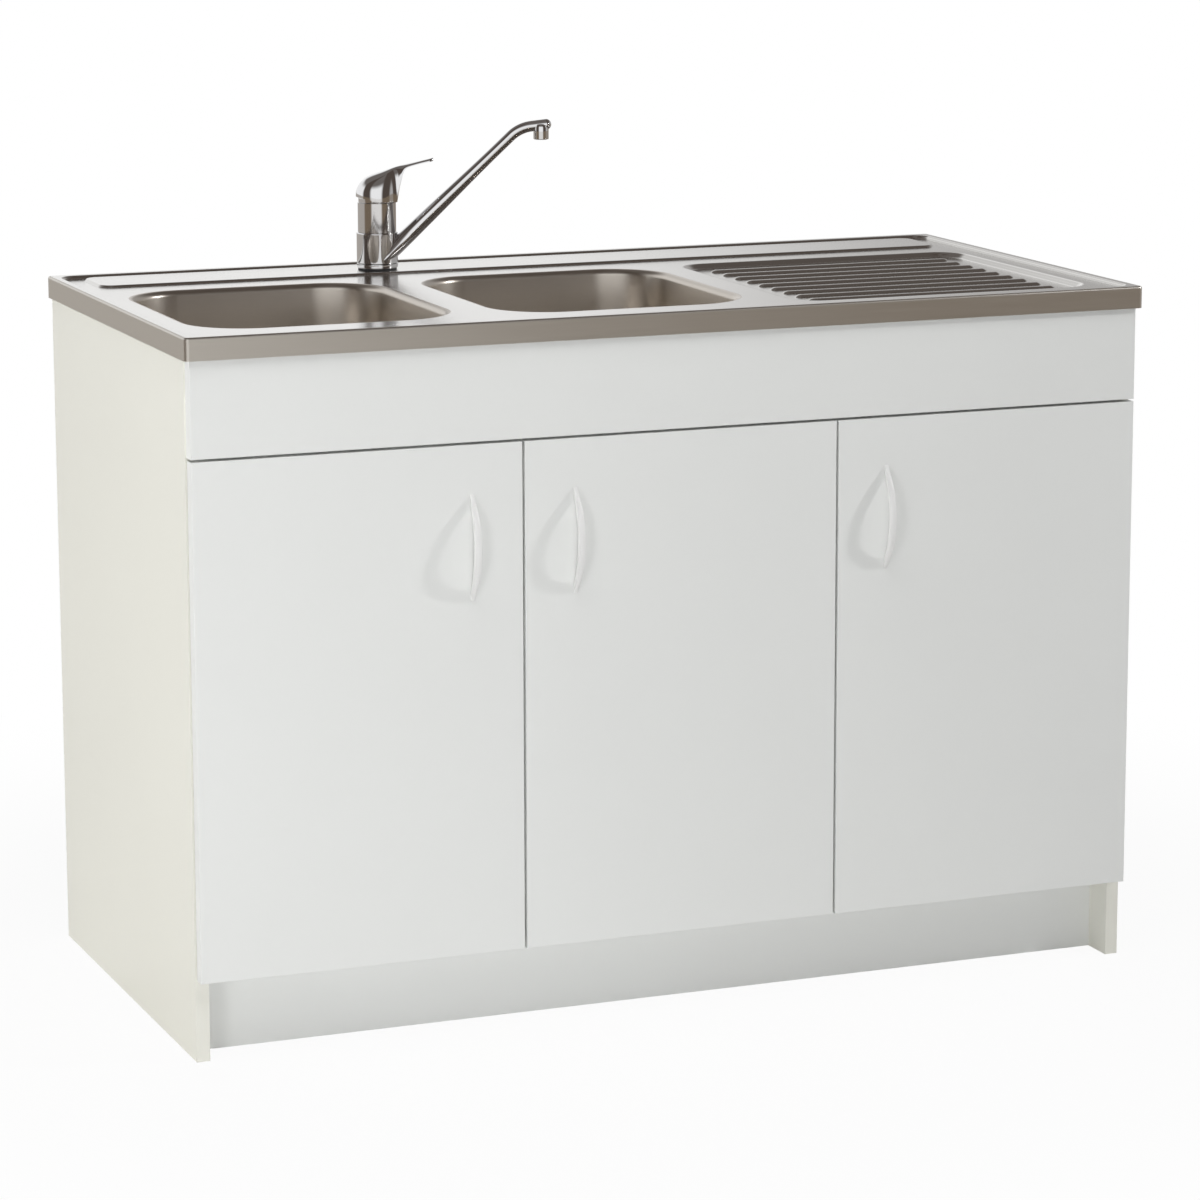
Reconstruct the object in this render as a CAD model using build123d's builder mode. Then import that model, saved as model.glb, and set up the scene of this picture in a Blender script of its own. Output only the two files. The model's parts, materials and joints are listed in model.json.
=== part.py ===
"""Sink base cabinet: a white board carcass with three doors, a lay-on steel sink top
with two bowls and a drainer, and a single-lever mixer tap.

Millimetres, +Z up, +X to the right as seen from the front, +Y to the back.
The origin is on the floor, under the middle of the whole unit.
"""
import os
from math import cos, radians, sin

from build123d import *

# Boards of the carcass
board = 16.0
door_thickness = 16.0
door_back_gap = 2.0
door_height = 602.0
door_bottom_z = 97.0
door_gap = 3.0
door_side_inset = 2.0
door_edge_round = 0.8
fascia_top_gap = 2.0
front_rail_overlap = 19.0
front_rail_drop = 35.0
rear_rail_height = 100.0
rear_foot_height = 80.0
plinth_setback = 44.0
partition_drop = 35.0
shelf_z = 390.0
shelf_play = 1.0
shelf_front_inset = 40.0
shelf_back_inset = 30.0
shelf_pin_radius = 2.5
shelf_pin_seat = 10.0
shelf_pin_reach = 9.0
shelf_pin_inset = 50.0
wall_hole_radius = 3.0
wall_hole_spacing = 800.0

# Cam fittings that hold the boards to the side panels
cam_radius = 7.5
cam_depth = 12.5
cam_from_end = 24.0
cam_slot_width = 1.6
cam_slot_depth = 2.0
bolt_radius = 3.0
bolt_seat = 11.0
bolt_head_radius = 3.6
bolt_head_length = 3.0
bolt_hole_radius = 4.0
bottom_cam_inset = 60.0

# Lay-on sink top
sink_width = 1200.0
sink_depth = 600.0
sink_top_z = 840.0
sheet = 1.0
rim_height = 26.5
rim_overhang = 6.0
rim_side_play = 5.0
rim_back_play = 2.0
rim_corner = 6.0
rim_round = 2.5
border_width = 14.0
recess_corner = 20.0
deck_drop = 4.0
ledge_rise = 2.5
ledge_depth = 92.0
ledge_side_margin = 24.0
ledge_back_margin = 6.0
ledge_corner = 18.0

# Bowls
bowl_depth = 150.0
bowl_corner = 70.0
bowl_floor_round = 32.0
bowl_draft = 4.0
bowl_mouth_round = 8.0
bowl_lip = 10.0
bowl_side_margin = 48.0
bowl_front_margin = 83.0
bowl_back_margin = 170.0
bowl_gap = 62.0
bowl_to_partition = 68.0

# Drainer
drainer_gap = 45.0
drainer_side_margin = 36.0
drainer_drop = 6.0
drainer_corner = 40.0
drainer_front_margin = 52.0
drainer_back_margin = 158.0
flute_count = 9
flute_side_margin = 39.5
flute_end_margin = 33.0
flute_width = 15.0
flute_height = 3.0

# Wastes and pipes
waste_hole_radius = 45.0
waste_flange_radius = 56.0
waste_flange_height = 2.5
waste_body_radius = 43.8
waste_seat_radius = 41.8
waste_bore_radius = 38.4
waste_seat_depth = 7.0
waste_body_depth = 46.0
waste_floor = 3.0
pipe_radius = 20.0
pipe_wall = 2.0
stub_length = 30.0
gasket_height = 3.0
gasket_outer_radius = 56.0
waste_nut_radius = 54.0
waste_nut_height = 12.0
waste_nut_lugs = 8
waste_nut_lug = 6.0
basket_play = 0.5
basket_wall = 1.2
basket_depth = 30.0
basket_rim_height = 2.0
basket_holes = 12
basket_hole_radius = 2.6
basket_post_radius = 4.0
basket_knob_radius = 9.0
branch_drop = 56.0
branch_bend = 42.0
tee_length = 92.0
tee_port = 34.0
coupling_nut_radius = 26.0
coupling_nut_height = 24.0
coupling_nut_play = 0.3
trap_radius = 34.0
trap_height = 84.0
trap_cup_radius = 30.0
trap_cup_height = 46.0
trap_outlet_drop = 30.0
trap_outlet_end_inset = 24.0
outlet_spigot_length = 45.0
outlet_spigot_step = 0.6
outlet_pipe_play = 0.1

# Tap
tap_from_bowls_middle = 18.0
tap_from_back = 75.0
tap_turn = -20.0
tap_hole_radius = 17.5
tap_base_radius = 25.6
tap_base_height = 6.0
tap_seal_height = 1.5
tap_spigot_radius = 16.5
tap_core_radius = 19.0
tap_sleeve_radius = 23.8
tap_bore_radius = 18.0
bore_floor_drop = 25.0
spout_ring_height = 38.5
ring_edge_round = 1.0
spout_end_play = 0.3
spout_running_gap = 0.06
spout_sleeve_play = 0.5
pivot_height = 83.5
inlet_radius = 4.5
inlet_depth = 14.0
inlet_spacing = 18.0
inlet_pass_radius = 6.0
stud_radius = 4.0
stud_drop = 60.0
stud_grip = 12.0
stud_from_axis = 12.0
washer_radius = 24.0
washer_height = 3.0
washer_slot = 14.0
nut_across_flats = 13.0
nut_height = 12.0

# Spout
spout_root = (14.0, 18.5)
spout_bend = (178.0, 175.5)
spout_end = (211.0, 179.5)
spout_bend_radius = 45.0
spout_root_height = 20.0
spout_root_width = 20.0
spout_tube_radius = 6.75
spout_taper_length = 190.0
spout_blend = 8.0
outlet_from_axis = 205.0
outlet_radius = 9.5
outlet_rise = 170.0
aerator_height = 9.0
aerator_bore = 7.0
aerator_seat = 3.0

# Cartridge
housing_radius = 17.8
housing_drop = 7.0
rotor_radius = 11.0
rotor_drop = 17.0
rotor_running_gap = 0.06
cheek_radius = 9.6
cheek_rise = 4.0
cartridge_nut_bore = 12.0
cartridge_nut_height = 5.0
spindle_width = 8.0
spindle_depth = 7.0
spindle_play = 0.2
spindle_drop = 11.0
spindle_rise = 30.0
pivot_pin_radius = 2.0
pivot_running_gap = 0.05
cap_height = 7.0
cap_edge = 1.0
cap_opening_radius = 11.0
cap_radius = 22.8

# Lever
lever_skirt_radius = 26.0
lever_skirt_bore = 24.8
lever_front_edge = 1.0
lever_rear_edge = 7.5
lever_cavity_height = 17.0
lever_cavity_top_radius = 15.0
lever_cavity_ceiling = 27.0
lever_boss_radius = 8.0
lever_boss_foot = 13.5
lever_tip = 65.0
lever_tip_radius = 5.6
lever_root_half_width = 13.0
lever_root_at = 28.0
lever_shoulder = 9.0
lever_cavity_step = 6.0
lever_screw_radius = 2.5
lever_screw_height = 20.0
lever_screw_length = 8.0

# Door handles: bows with solid tapered feet
handle_length = 125.0
handle_reach = 24.0
handle_width = 9.0
handle_thickness = 6.5
handle_foot = 13.0
handle_round = 2.0
handle_from_edge = 62.0
handle_from_top = 57.0
handle_hole_spacing = 106.0
handle_screw_radius = 2.0
handle_screw_hole_radius = 2.3
handle_screw_bite = 5.0
handle_screw_head_radius = 4.0
handle_screw_head_height = 2.5

# Cup hinges, measured from the door's hinge edge and from its back face
hinge_inset = 100.0
cup_radius = 17.5
cup_depth = 12.0
cup_wall = 1.0
cup_centre_in = 20.5
cup_flange_radius = 18.6
cup_flange_height = 1.0
cup_wing_length = 58.0
cup_wing_width = 15.0
cup_relief_depth = 1.2
cup_relief_play = 1.0
cup_pivot_in = 15.5
cup_pivot_deep = 4.3
arm_pivot_in = 51.5
arm_pivot_back = 8.0
hinge_pin_radius = 2.0
hinge_running_gap = 0.05
link_eye_radius = 3.8
link_thickness = 3.6
link_width = 10.0
arm_side_play = 0.4
arm_cheek = 2.2
arm_bar_width = 9.0
arm_bar_in = 22.0
arm_bar_back = 40.0
arm_foot_length = 52.0
arm_foot_height = 6.0
arm_foot_back = 30.0
arm_slot_length = 52.0
arm_slot_depth = 34.7
plate_top_in = 17.0
plate_length = 44.0
plate_height = 40.0
plate_from_arm_foot = 4.0
buffer_radius = 5.0
buffer_gap = 0.1
buffer_inset = 20.0

# Places that follow from the sizes above
handle_proud = handle_reach - rim_overhang
front_y = -(sink_depth - handle_proud) / 2
back_y = front_y + sink_depth
sink_mid_y = (front_y + back_y) / 2
left_x = -sink_width / 2
door_front_y = front_y + rim_overhang
door_back_y = door_front_y + door_thickness
panel_front_y = door_back_y + door_back_gap
panel_back_y = back_y - sheet - rim_back_play
carcass_half = sink_width / 2 - rim_side_play
inner_half = carcass_half - board
deck_z = sink_top_z - deck_drop
ledge_z = deck_z + ledge_rise
carcass_top_z = deck_z - sheet
rim_bottom_z = sink_top_z - rim_height
floor_top_z = door_bottom_z + board
door_top_z = door_bottom_z + door_height
fascia_bottom_z = door_top_z + door_gap
fascia_top_z = carcass_top_z - fascia_top_gap
front_rail_top_z = carcass_top_z - front_rail_drop
front_rail_bottom_z = door_top_z - front_rail_overlap
rear_rail_bottom_z = carcass_top_z - rear_rail_height
plinth_front_y = panel_front_y + plinth_setback
door_span = 2 * (carcass_half - door_side_inset)
door_width = (door_span - 2 * door_gap) / 3
door_left_edges = [-door_span / 2 + i * (door_width + door_gap) for i in range(3)]
partition_mid_x = door_left_edges[2] - door_gap / 2
partition_left_x = partition_mid_x - board / 2
partition_right_x = partition_mid_x + board / 2
hinge_heights = (door_bottom_z + hinge_inset, door_top_z - hinge_inset)
bowls_left_x = left_x + bowl_side_margin
bowls_right_x = partition_left_x - bowl_to_partition
bowl_width = (bowls_right_x - bowls_left_x - bowl_gap) / 2
bowl_length = sink_depth - bowl_front_margin - bowl_back_margin
bowl_mid_y = front_y + bowl_front_margin + bowl_length / 2
bowl_mid_x = [bowls_left_x + bowl_width / 2, bowls_right_x - bowl_width / 2]
bowl_floor_z = deck_z - bowl_depth
stub_end_z = bowl_floor_z - waste_body_depth - stub_length
tap_x = (bowls_left_x + bowls_right_x) / 2 + tap_from_bowls_middle
tap_origin = Vector(tap_x, back_y - tap_from_back, ledge_z)
tap_along = Vector(cos(radians(tap_turn)), sin(radians(tap_turn)), 0)
tap_across = Vector(sin(radians(tap_turn)), -cos(radians(tap_turn)), 0)
tap_plane = Plane(origin=tap_origin, x_dir=tap_along, z_dir=(0, 0, 1))
tap_side = Plane(origin=tap_origin, x_dir=tap_along, z_dir=tap_across)
tap_axis = Axis(tap_origin, (0, 0, 1))
tap_base_top = tap_seal_height + tap_base_height
spout_ring_foot = tap_base_top + spout_end_play
spout_ring_top = spout_ring_foot + spout_ring_height
sleeve_foot = spout_ring_top + spout_end_play
tap_bore_floor = pivot_height - bore_floor_drop
housing_top = pivot_height - housing_drop
rotor_foot = pivot_height - rotor_drop

os.makedirs("parts", exist_ok=True)


def keep(piece, name):
    """Labels a finished piece and writes its file."""
    piece.part.label = name
    export_step(piece.part, f"parts/{name}.step")


def block(low, high, mode=Mode.ADD):
    """A box between two corners."""
    with Locations(low):
        Box(
            high[0] - low[0], high[1] - low[1], high[2] - low[2],
            align=(Align.MIN, Align.MIN, Align.MIN), mode=mode,
        )


def rod(start, direction, radius, length, mode=Mode.ADD):
    """A round bar that starts at a point and runs along a direction."""
    with Locations(Plane(origin=start, z_dir=direction)):
        Cylinder(radius, length, align=(Align.CENTER, Align.CENTER, Align.MIN), mode=mode)


def bore(start, direction, radius, length):
    """A round hole that starts at a point and runs along a direction."""
    rod(start, direction, radius, length, mode=Mode.SUBTRACT)


def pad(size, corner, centre, bottom, top, mode=Mode.ADD):
    """A flat block with rounded corners, seen from above."""
    with BuildSketch(Plane.XY.offset(bottom)) as outline:
        with Locations(centre):
            RectangleRounded(size[0], size[1], corner)
    extrude(outline.sketch, amount=top - bottom, mode=mode)


def turned(axis, outline, plane, mode=Mode.ADD):
    """A body turned from the closed outline of (radius, height) points."""
    with BuildSketch(plane) as profile:
        with BuildLine():
            Polyline(*outline, close=True)
        make_face()
    revolve(profile.sketch, axis=axis, mode=mode)


# Cam fittings: (board end on the right-hand side, direction of the cam's face)
bottom_mid_z = door_bottom_z + board / 2
front_rail_mid_z = (front_rail_bottom_z + front_rail_top_z) / 2
rear_rail_mid_z = carcass_top_z - rear_rail_height / 2
rear_foot_mid_z = floor_top_z + rear_foot_height / 2
cam_places = [
    (Vector(inner_half, panel_front_y + bottom_cam_inset, bottom_mid_z), Vector(0, 0, -1)),
    (Vector(inner_half, panel_back_y - bottom_cam_inset, bottom_mid_z), Vector(0, 0, -1)),
    (Vector(inner_half, panel_front_y + board / 2, front_rail_mid_z), Vector(0, 1, 0)),
    (Vector(inner_half, panel_back_y - board / 2, rear_rail_mid_z), Vector(0, -1, 0)),
    (Vector(inner_half, panel_back_y - board / 2, rear_foot_mid_z), Vector(0, -1, 0)),
]
cam_sides = [
    (Vector(side * end.X, end.Y, end.Z), Vector(-side, 0, 0), face)
    for end, face in cam_places
    for side in (-1, 1)
]


def cam_holes(low, high):
    """Cuts the bolt and cam holes of every fitting whose end lies on this board."""
    for end, inward, face in cam_sides:
        inside = all(low[i] - 0.1 <= tuple(end)[i] <= high[i] + 0.1 for i in range(3))
        if inside:
            bore(end, inward, bolt_hole_radius, cam_from_end)
            mouth = end + inward * cam_from_end + face * (board / 2)
            bore(mouth, face * -1, cam_radius, cam_depth)


# Shelf pins: (panel face, direction into the panel)
shelf_pin_places = [
    (Vector(face_x, y, shelf_z - shelf_pin_radius), Vector(way, 0, 0))
    for face_x, way in ((partition_right_x, -1), (inner_half, 1))
    for y in (
        panel_front_y + shelf_front_inset + shelf_pin_inset,
        panel_back_y - board - shelf_back_inset - shelf_pin_inset,
    )
]


def shelf_pin_holes(face_x):
    """Cuts the shelf pin holes that open on one panel face."""
    for face, way in shelf_pin_places:
        if abs(face.X - face_x) < 1:
            bore(face, way, shelf_pin_radius, shelf_pin_seat)


# Side panels, standing on the floor and carrying the sink top
for side, name in ((-1, "side_panel_left"), (1, "side_panel_right")):
    with BuildPart() as side_panel:
        outer_x = side * carcass_half
        inner_x = side * inner_half
        block(
            (min(outer_x, inner_x), panel_front_y, 0),
            (max(outer_x, inner_x), panel_back_y, carcass_top_z),
        )
        for end, inward, face in cam_sides:
            if end.X * side > 0:
                bore(end, inward * -1, bolt_radius, bolt_seat)
        shelf_pin_holes(inner_x)
    keep(side_panel, name)

with BuildPart() as bottom_panel:
    bottom_low = (-inner_half, panel_front_y, door_bottom_z)
    bottom_high = (inner_half, panel_back_y, floor_top_z)
    block(bottom_low, bottom_high)
    cam_holes(bottom_low, bottom_high)
keep(bottom_panel, "bottom_panel")

with BuildPart() as partition_panel:
    block(
        (partition_left_x, panel_front_y, floor_top_z),
        (partition_right_x, panel_back_y - board, carcass_top_z - partition_drop),
    )
    block(
        (partition_left_x, panel_front_y, front_rail_bottom_z),
        (partition_right_x, panel_front_y + board, carcass_top_z),
        mode=Mode.SUBTRACT,
    )
    shelf_pin_holes(partition_right_x)
keep(partition_panel, "partition_panel")

with BuildPart() as plinth_board:
    block((-inner_half, plinth_front_y, 0), (inner_half, plinth_front_y + board, door_bottom_z))
keep(plinth_board, "plinth_board")

with BuildPart() as fascia_panel:
    block(
        (-door_span / 2, door_front_y, fascia_bottom_z),
        (door_span / 2, panel_front_y, fascia_top_z),
    )
    fillet(fascia_panel.faces().sort_by(Axis.Y)[0].edges(), door_edge_round)
keep(fascia_panel, "fascia_panel")

with BuildPart() as front_rail:
    rail_low = (-inner_half, panel_front_y, front_rail_bottom_z)
    rail_high = (inner_half, panel_front_y + board, front_rail_top_z)
    block(rail_low, rail_high)
    cam_holes(rail_low, rail_high)
keep(front_rail, "front_rail")

# The top rail at the back is drilled for fixing the unit to a wall
with BuildPart() as rear_top_rail:
    rail_low = (-inner_half, panel_back_y - board, rear_rail_bottom_z)
    rail_high = (inner_half, panel_back_y, carcass_top_z)
    block(rail_low, rail_high)
    cam_holes(rail_low, rail_high)
    for side in (-1, 1):
        hole = (side * wall_hole_spacing / 2, panel_back_y, carcass_top_z - rear_rail_height / 2)
        bore(hole, (0, -1, 0), wall_hole_radius, board)
keep(rear_top_rail, "rear_top_rail")

with BuildPart() as rear_bottom_rail:
    rail_low = (-inner_half, panel_back_y - board, floor_top_z)
    rail_high = (inner_half, panel_back_y, floor_top_z + rear_foot_height)
    block(rail_low, rail_high)
    cam_holes(rail_low, rail_high)
keep(rear_bottom_rail, "rear_bottom_rail")

with BuildPart() as shelf:
    block(
        (partition_right_x + shelf_play, panel_front_y + shelf_front_inset, shelf_z),
        (inner_half - shelf_play, panel_back_y - board - shelf_back_inset, shelf_z + board),
    )
    fillet(shelf.faces().sort_by(Axis.Y)[0].edges().filter_by(Axis.X), door_edge_round)
keep(shelf, "shelf")

with BuildPart() as shelf_pins:
    for face, way in shelf_pin_places:
        rod(face + way * shelf_pin_seat, way * -1, shelf_pin_radius, shelf_pin_seat + shelf_pin_reach)
keep(shelf_pins, "shelf_pins")

with BuildPart() as cam_bolts:
    for end, inward, face in cam_sides:
        rod(end - inward * bolt_seat, inward, bolt_radius, bolt_seat + cam_from_end)
        head = end + inward * (cam_from_end - bolt_head_length)
        rod(head, inward, bolt_head_radius, bolt_head_length)
keep(cam_bolts, "cam_bolts")

with BuildPart() as cam_locks:
    for end, inward, face in cam_sides:
        mouth = end + inward * cam_from_end + face * (board / 2)
        rod(mouth, face * -1, cam_radius, cam_depth)
    for end, inward, face in cam_sides:
        bore(end, inward, bolt_hole_radius, cam_from_end + cam_slot_width)
        mouth = end + inward * cam_from_end + face * (board / 2)
        with Locations(Plane(origin=mouth, x_dir=inward, z_dir=face)):
            Box(2 * cam_radius, cam_slot_width, 2 * cam_slot_depth, mode=Mode.SUBTRACT)
keep(cam_locks, "cam_locks")

# Sink top: a pressed sheet with a raised border, a tap ledge and a drainer pan
recess_size = (sink_width - 2 * border_width, sink_depth - 2 * border_width)
ledge_size = (recess_size[0] - 2 * ledge_side_margin, ledge_depth)
ledge_centre = (0, back_y - border_width - ledge_back_margin - ledge_depth / 2)
drainer_left = bowls_right_x + drainer_gap
drainer_width = sink_width / 2 - drainer_side_margin - drainer_left
drainer_length = sink_depth - drainer_front_margin - drainer_back_margin
flute_length = drainer_width - 2 * flute_end_margin
flute_pitch = (drainer_length - 2 * flute_side_margin - flute_width) / (flute_count - 1)
drainer_centre = (drainer_left + drainer_width / 2, front_y + drainer_front_margin + drainer_length / 2)
drainer_z = deck_z - drainer_drop


def grown(size, amount):
    """A plan size with an equal margin on every side."""
    return (size[0] + 2 * amount, size[1] + 2 * amount)


with BuildPart() as sink_deck:
    sink_centre = (0, sink_mid_y)
    pad((sink_width, sink_depth), rim_corner, sink_centre, rim_bottom_z, sink_top_z)
    fillet(sink_deck.faces().sort_by(Axis.Z)[-1].edges(), rim_round)
    under_size = (sink_width - 2 * sheet, sink_depth - 2 * sheet)
    pad(under_size, rim_corner - sheet, sink_centre, rim_bottom_z, sink_top_z - sheet, Mode.SUBTRACT)
    pad(grown(recess_size, sheet), recess_corner + sheet, sink_centre, carcass_top_z, sink_top_z - sheet)
    pad(recess_size, recess_corner, sink_centre, deck_z, sink_top_z, Mode.SUBTRACT)
    pad(ledge_size, ledge_corner, ledge_centre, carcass_top_z, ledge_z)
    ledge_under = grown(ledge_size, -sheet)
    pad(ledge_under, ledge_corner - sheet, ledge_centre, carcass_top_z, ledge_z - sheet, Mode.SUBTRACT)
    drainer_size = (drainer_width, drainer_length)
    drainer_under = grown(drainer_size, sheet)
    pad(drainer_under, drainer_corner + sheet, drainer_centre, drainer_z - sheet, carcass_top_z)
    pad(drainer_size, drainer_corner, drainer_centre, drainer_z, deck_z, Mode.SUBTRACT)
    with BuildSketch(Plane.XY.offset(drainer_z)):
        with Locations(drainer_centre):
            with GridLocations(0, flute_pitch, 1, flute_count):
                SlotOverall(flute_length, flute_width)
    extrude(amount=flute_height)
    flute_tops = sink_deck.faces().filter_by(Axis.Z).filter_by_position(
        Axis.Z, drainer_z + flute_height - 0.1, drainer_z + flute_height + 0.1
    )
    fillet(flute_tops.edges(), flute_height * 0.8)
    bowl_hole = (bowl_width + 2 * bowl_lip, bowl_length + 2 * bowl_lip)
    for mid_x in bowl_mid_x:
        pad(bowl_hole, bowl_corner + bowl_lip, (mid_x, bowl_mid_y), rim_bottom_z, deck_z, Mode.SUBTRACT)
    bore(tap_origin, (0, 0, -1), tap_hole_radius, rim_height)
keep(sink_deck, "sink_deck")


def bowl_skin(mid_x, grow):
    """The bowl's space as a solid, with a flared mouth, grown by the sheet for the outer skin."""
    top_z = deck_z - grow
    with BuildPart() as skin:
        with BuildSketch(Plane.XY.offset(top_z)):
            with Locations((mid_x, bowl_mid_y)):
                RectangleRounded(bowl_width + 2 * grow, bowl_length + 2 * grow, bowl_corner + grow)
        extrude(amount=-bowl_depth, taper=bowl_draft)
        fillet(skin.faces().sort_by(Axis.Z)[0].edges(), bowl_floor_round + grow)
        pad(bowl_hole, bowl_corner + bowl_lip, (mid_x, bowl_mid_y), top_z, deck_z + sheet)
        under_lip = skin.faces().filter_by(Axis.Z).filter_by_position(Axis.Z, top_z - 0.01, top_z + 0.01)
        inner_mouth = under_lip[0].inner_wires()[0].edges()
        fillet(inner_mouth, bowl_mouth_round - grow)
    return skin.part


for mid_x, name in zip(bowl_mid_x, ("sink_bowl_left", "sink_bowl_right")):
    bowl_outer = bowl_skin(mid_x, sheet)
    bowl_space = bowl_skin(mid_x, 0)
    with BuildPart() as sink_bowl:
        add(bowl_outer)
        add(bowl_space, mode=Mode.SUBTRACT)
        bore((mid_x, bowl_mid_y, bowl_floor_z), (0, 0, -1), waste_hole_radius, 2 * sheet)
    keep(sink_bowl, name)


def waste_plane(mid_x):
    """The upright plane through a waste's axis, at the bowl's floor."""
    return Plane(origin=(mid_x, bowl_mid_y, bowl_floor_z), x_dir=(1, 0, 0), z_dir=(0, -1, 0))


def waste_axis(mid_x):
    return Axis((mid_x, bowl_mid_y, 0), (0, 0, 1))


# Strainer bodies, let into the bowls' floors
with BuildPart() as waste_bodies:
    for mid_x in bowl_mid_x:
        outline = [
            (pipe_radius - pipe_wall, -waste_body_depth - stub_length),
            (pipe_radius, -waste_body_depth - stub_length),
            (pipe_radius, -waste_body_depth),
            (waste_body_radius, -waste_body_depth),
            (waste_body_radius, 0),
            (waste_flange_radius, 0),
            (waste_flange_radius - waste_flange_height, waste_flange_height),
            (waste_seat_radius, waste_flange_height),
            (waste_seat_radius, waste_flange_height - waste_seat_depth),
            (waste_bore_radius, waste_flange_height - waste_seat_depth),
            (waste_bore_radius, waste_floor - waste_body_depth),
            (pipe_radius - pipe_wall, waste_floor - waste_body_depth),
        ]
        turned(waste_axis(mid_x), outline, waste_plane(mid_x))
keep(waste_bodies, "waste_bodies")

# Lift-out strainer baskets, resting on the strainer bodies' inner steps
for mid_x, name in zip(bowl_mid_x, ("strainer_basket_left", "strainer_basket_right")):
    with BuildPart() as strainer_basket:
        seat_z = waste_flange_height - waste_seat_depth
        rim_radius = waste_seat_radius - basket_play
        cup_side = waste_bore_radius - 2 * basket_play
        outline = [
            (0, seat_z - basket_depth),
            (cup_side, seat_z - basket_depth),
            (cup_side, seat_z),
            (rim_radius, seat_z),
            (rim_radius, seat_z + basket_rim_height),
            (cup_side - basket_wall, seat_z + basket_rim_height),
            (cup_side - basket_wall, seat_z - basket_depth + basket_wall),
            (basket_post_radius, seat_z - basket_depth + basket_wall),
            (basket_post_radius, seat_z - basket_rim_height),
            (basket_knob_radius, seat_z),
            (basket_knob_radius, seat_z + basket_rim_height),
            (0, seat_z + 2 * basket_rim_height),
        ]
        turned(waste_axis(mid_x), outline, waste_plane(mid_x))
        floor_plane = Plane(origin=(mid_x, bowl_mid_y, bowl_floor_z + seat_z - basket_depth))
        with Locations(floor_plane):
            with PolarLocations(cup_side * 0.68, basket_holes):
                Cylinder(basket_hole_radius, 4 * basket_wall, mode=Mode.SUBTRACT)
    keep(strainer_basket, name)

with BuildPart() as waste_gaskets:
    for mid_x in bowl_mid_x:
        rod((mid_x, bowl_mid_y, bowl_floor_z - sheet), (0, 0, -1), gasket_outer_radius, gasket_height)
    for mid_x in bowl_mid_x:
        bore((mid_x, bowl_mid_y, bowl_floor_z), (0, 0, -1), waste_body_radius, 2 * gasket_height)
keep(waste_gaskets, "waste_gaskets")

# Pipework: a branch from the left waste into a tee under the right one, then a bottle trap
left_axis_x, right_axis_x = bowl_mid_x
branch_z = stub_end_z - branch_drop
tee_bottom_z = stub_end_z - tee_length
trap_top_z = tee_bottom_z
trap_outlet_z = trap_top_z - trap_outlet_drop
trap_bottom_z = trap_top_z - trap_height
outlet_end_y = panel_back_y - board - trap_outlet_end_inset

with BuildPart() as waste_branch_pipe:
    with BuildLine() as branch_line:
        FilletPolyline(
            (left_axis_x, bowl_mid_y, stub_end_z),
            (left_axis_x, bowl_mid_y, branch_z),
            (right_axis_x - tee_port, bowl_mid_y, branch_z),
            radius=branch_bend,
        )
    with BuildSketch(Plane(origin=(left_axis_x, bowl_mid_y, stub_end_z), z_dir=(0, 0, -1))):
        Circle(pipe_radius)
        Circle(pipe_radius - pipe_wall, mode=Mode.SUBTRACT)
    sweep(path=branch_line.line)
keep(waste_branch_pipe, "waste_branch_pipe")

with BuildPart() as waste_tee:
    tee_top = (right_axis_x, bowl_mid_y, stub_end_z)
    tee_side = (right_axis_x, bowl_mid_y, branch_z)
    rod(tee_top, (0, 0, -1), pipe_radius, tee_length)
    rod(tee_side, (-1, 0, 0), pipe_radius, tee_port)
    bore(tee_top, (0, 0, -1), pipe_radius - pipe_wall, tee_length)
    bore(tee_side, (-1, 0, 0), pipe_radius - pipe_wall, tee_port)
keep(waste_tee, "waste_tee")

with BuildPart() as trap_body:
    trap_top = (right_axis_x, bowl_mid_y, trap_top_z)
    trap_foot = (right_axis_x, bowl_mid_y, trap_bottom_z)
    trap_outlet = (right_axis_x, bowl_mid_y, trap_outlet_z)
    rod(trap_top, (0, 0, -1), trap_radius, trap_height)
    fillet(trap_body.faces().sort_by(Axis.Z)[-1].edges(), 3 * pipe_wall)
    rod(trap_outlet, (0, 1, 0), pipe_radius + pipe_wall, trap_radius + tee_port)
    bore(trap_foot, (0, 0, 1), trap_radius - pipe_wall, trap_height - pipe_wall)
    bore(trap_outlet, (0, 1, 0), pipe_radius, trap_radius + tee_port)
    bore(trap_top, (0, 0, -1), pipe_radius - pipe_wall, 2 * pipe_wall)
keep(trap_body, "trap_body")

# The cup under the trap unscrews for cleaning
with BuildPart() as trap_cup:
    cup_top = (right_axis_x, bowl_mid_y, trap_bottom_z)
    rod(cup_top, (0, 0, -1), trap_radius, trap_cup_height)
    fillet(trap_cup.faces().sort_by(Axis.Z)[0].edges(), 4 * pipe_wall)
    bore(cup_top, (0, 0, -1), trap_cup_radius, trap_cup_height - pipe_wall)
keep(trap_cup, "trap_cup")

with BuildPart() as trap_outlet_pipe:
    outlet_start = (right_axis_x, bowl_mid_y + trap_radius, trap_outlet_z)
    outlet_length = outlet_end_y - bowl_mid_y - trap_radius
    outlet_radius_outside = pipe_radius - outlet_pipe_play
    rod(outlet_start, (0, 1, 0), outlet_radius_outside, outlet_length - outlet_spigot_length)
    rod(outlet_start, (0, 1, 0), outlet_radius_outside - outlet_spigot_step, outlet_length)
    bore(outlet_start, (0, 1, 0), pipe_radius - pipe_wall, outlet_length)
keep(trap_outlet_pipe, "trap_outlet_pipe")

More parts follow.
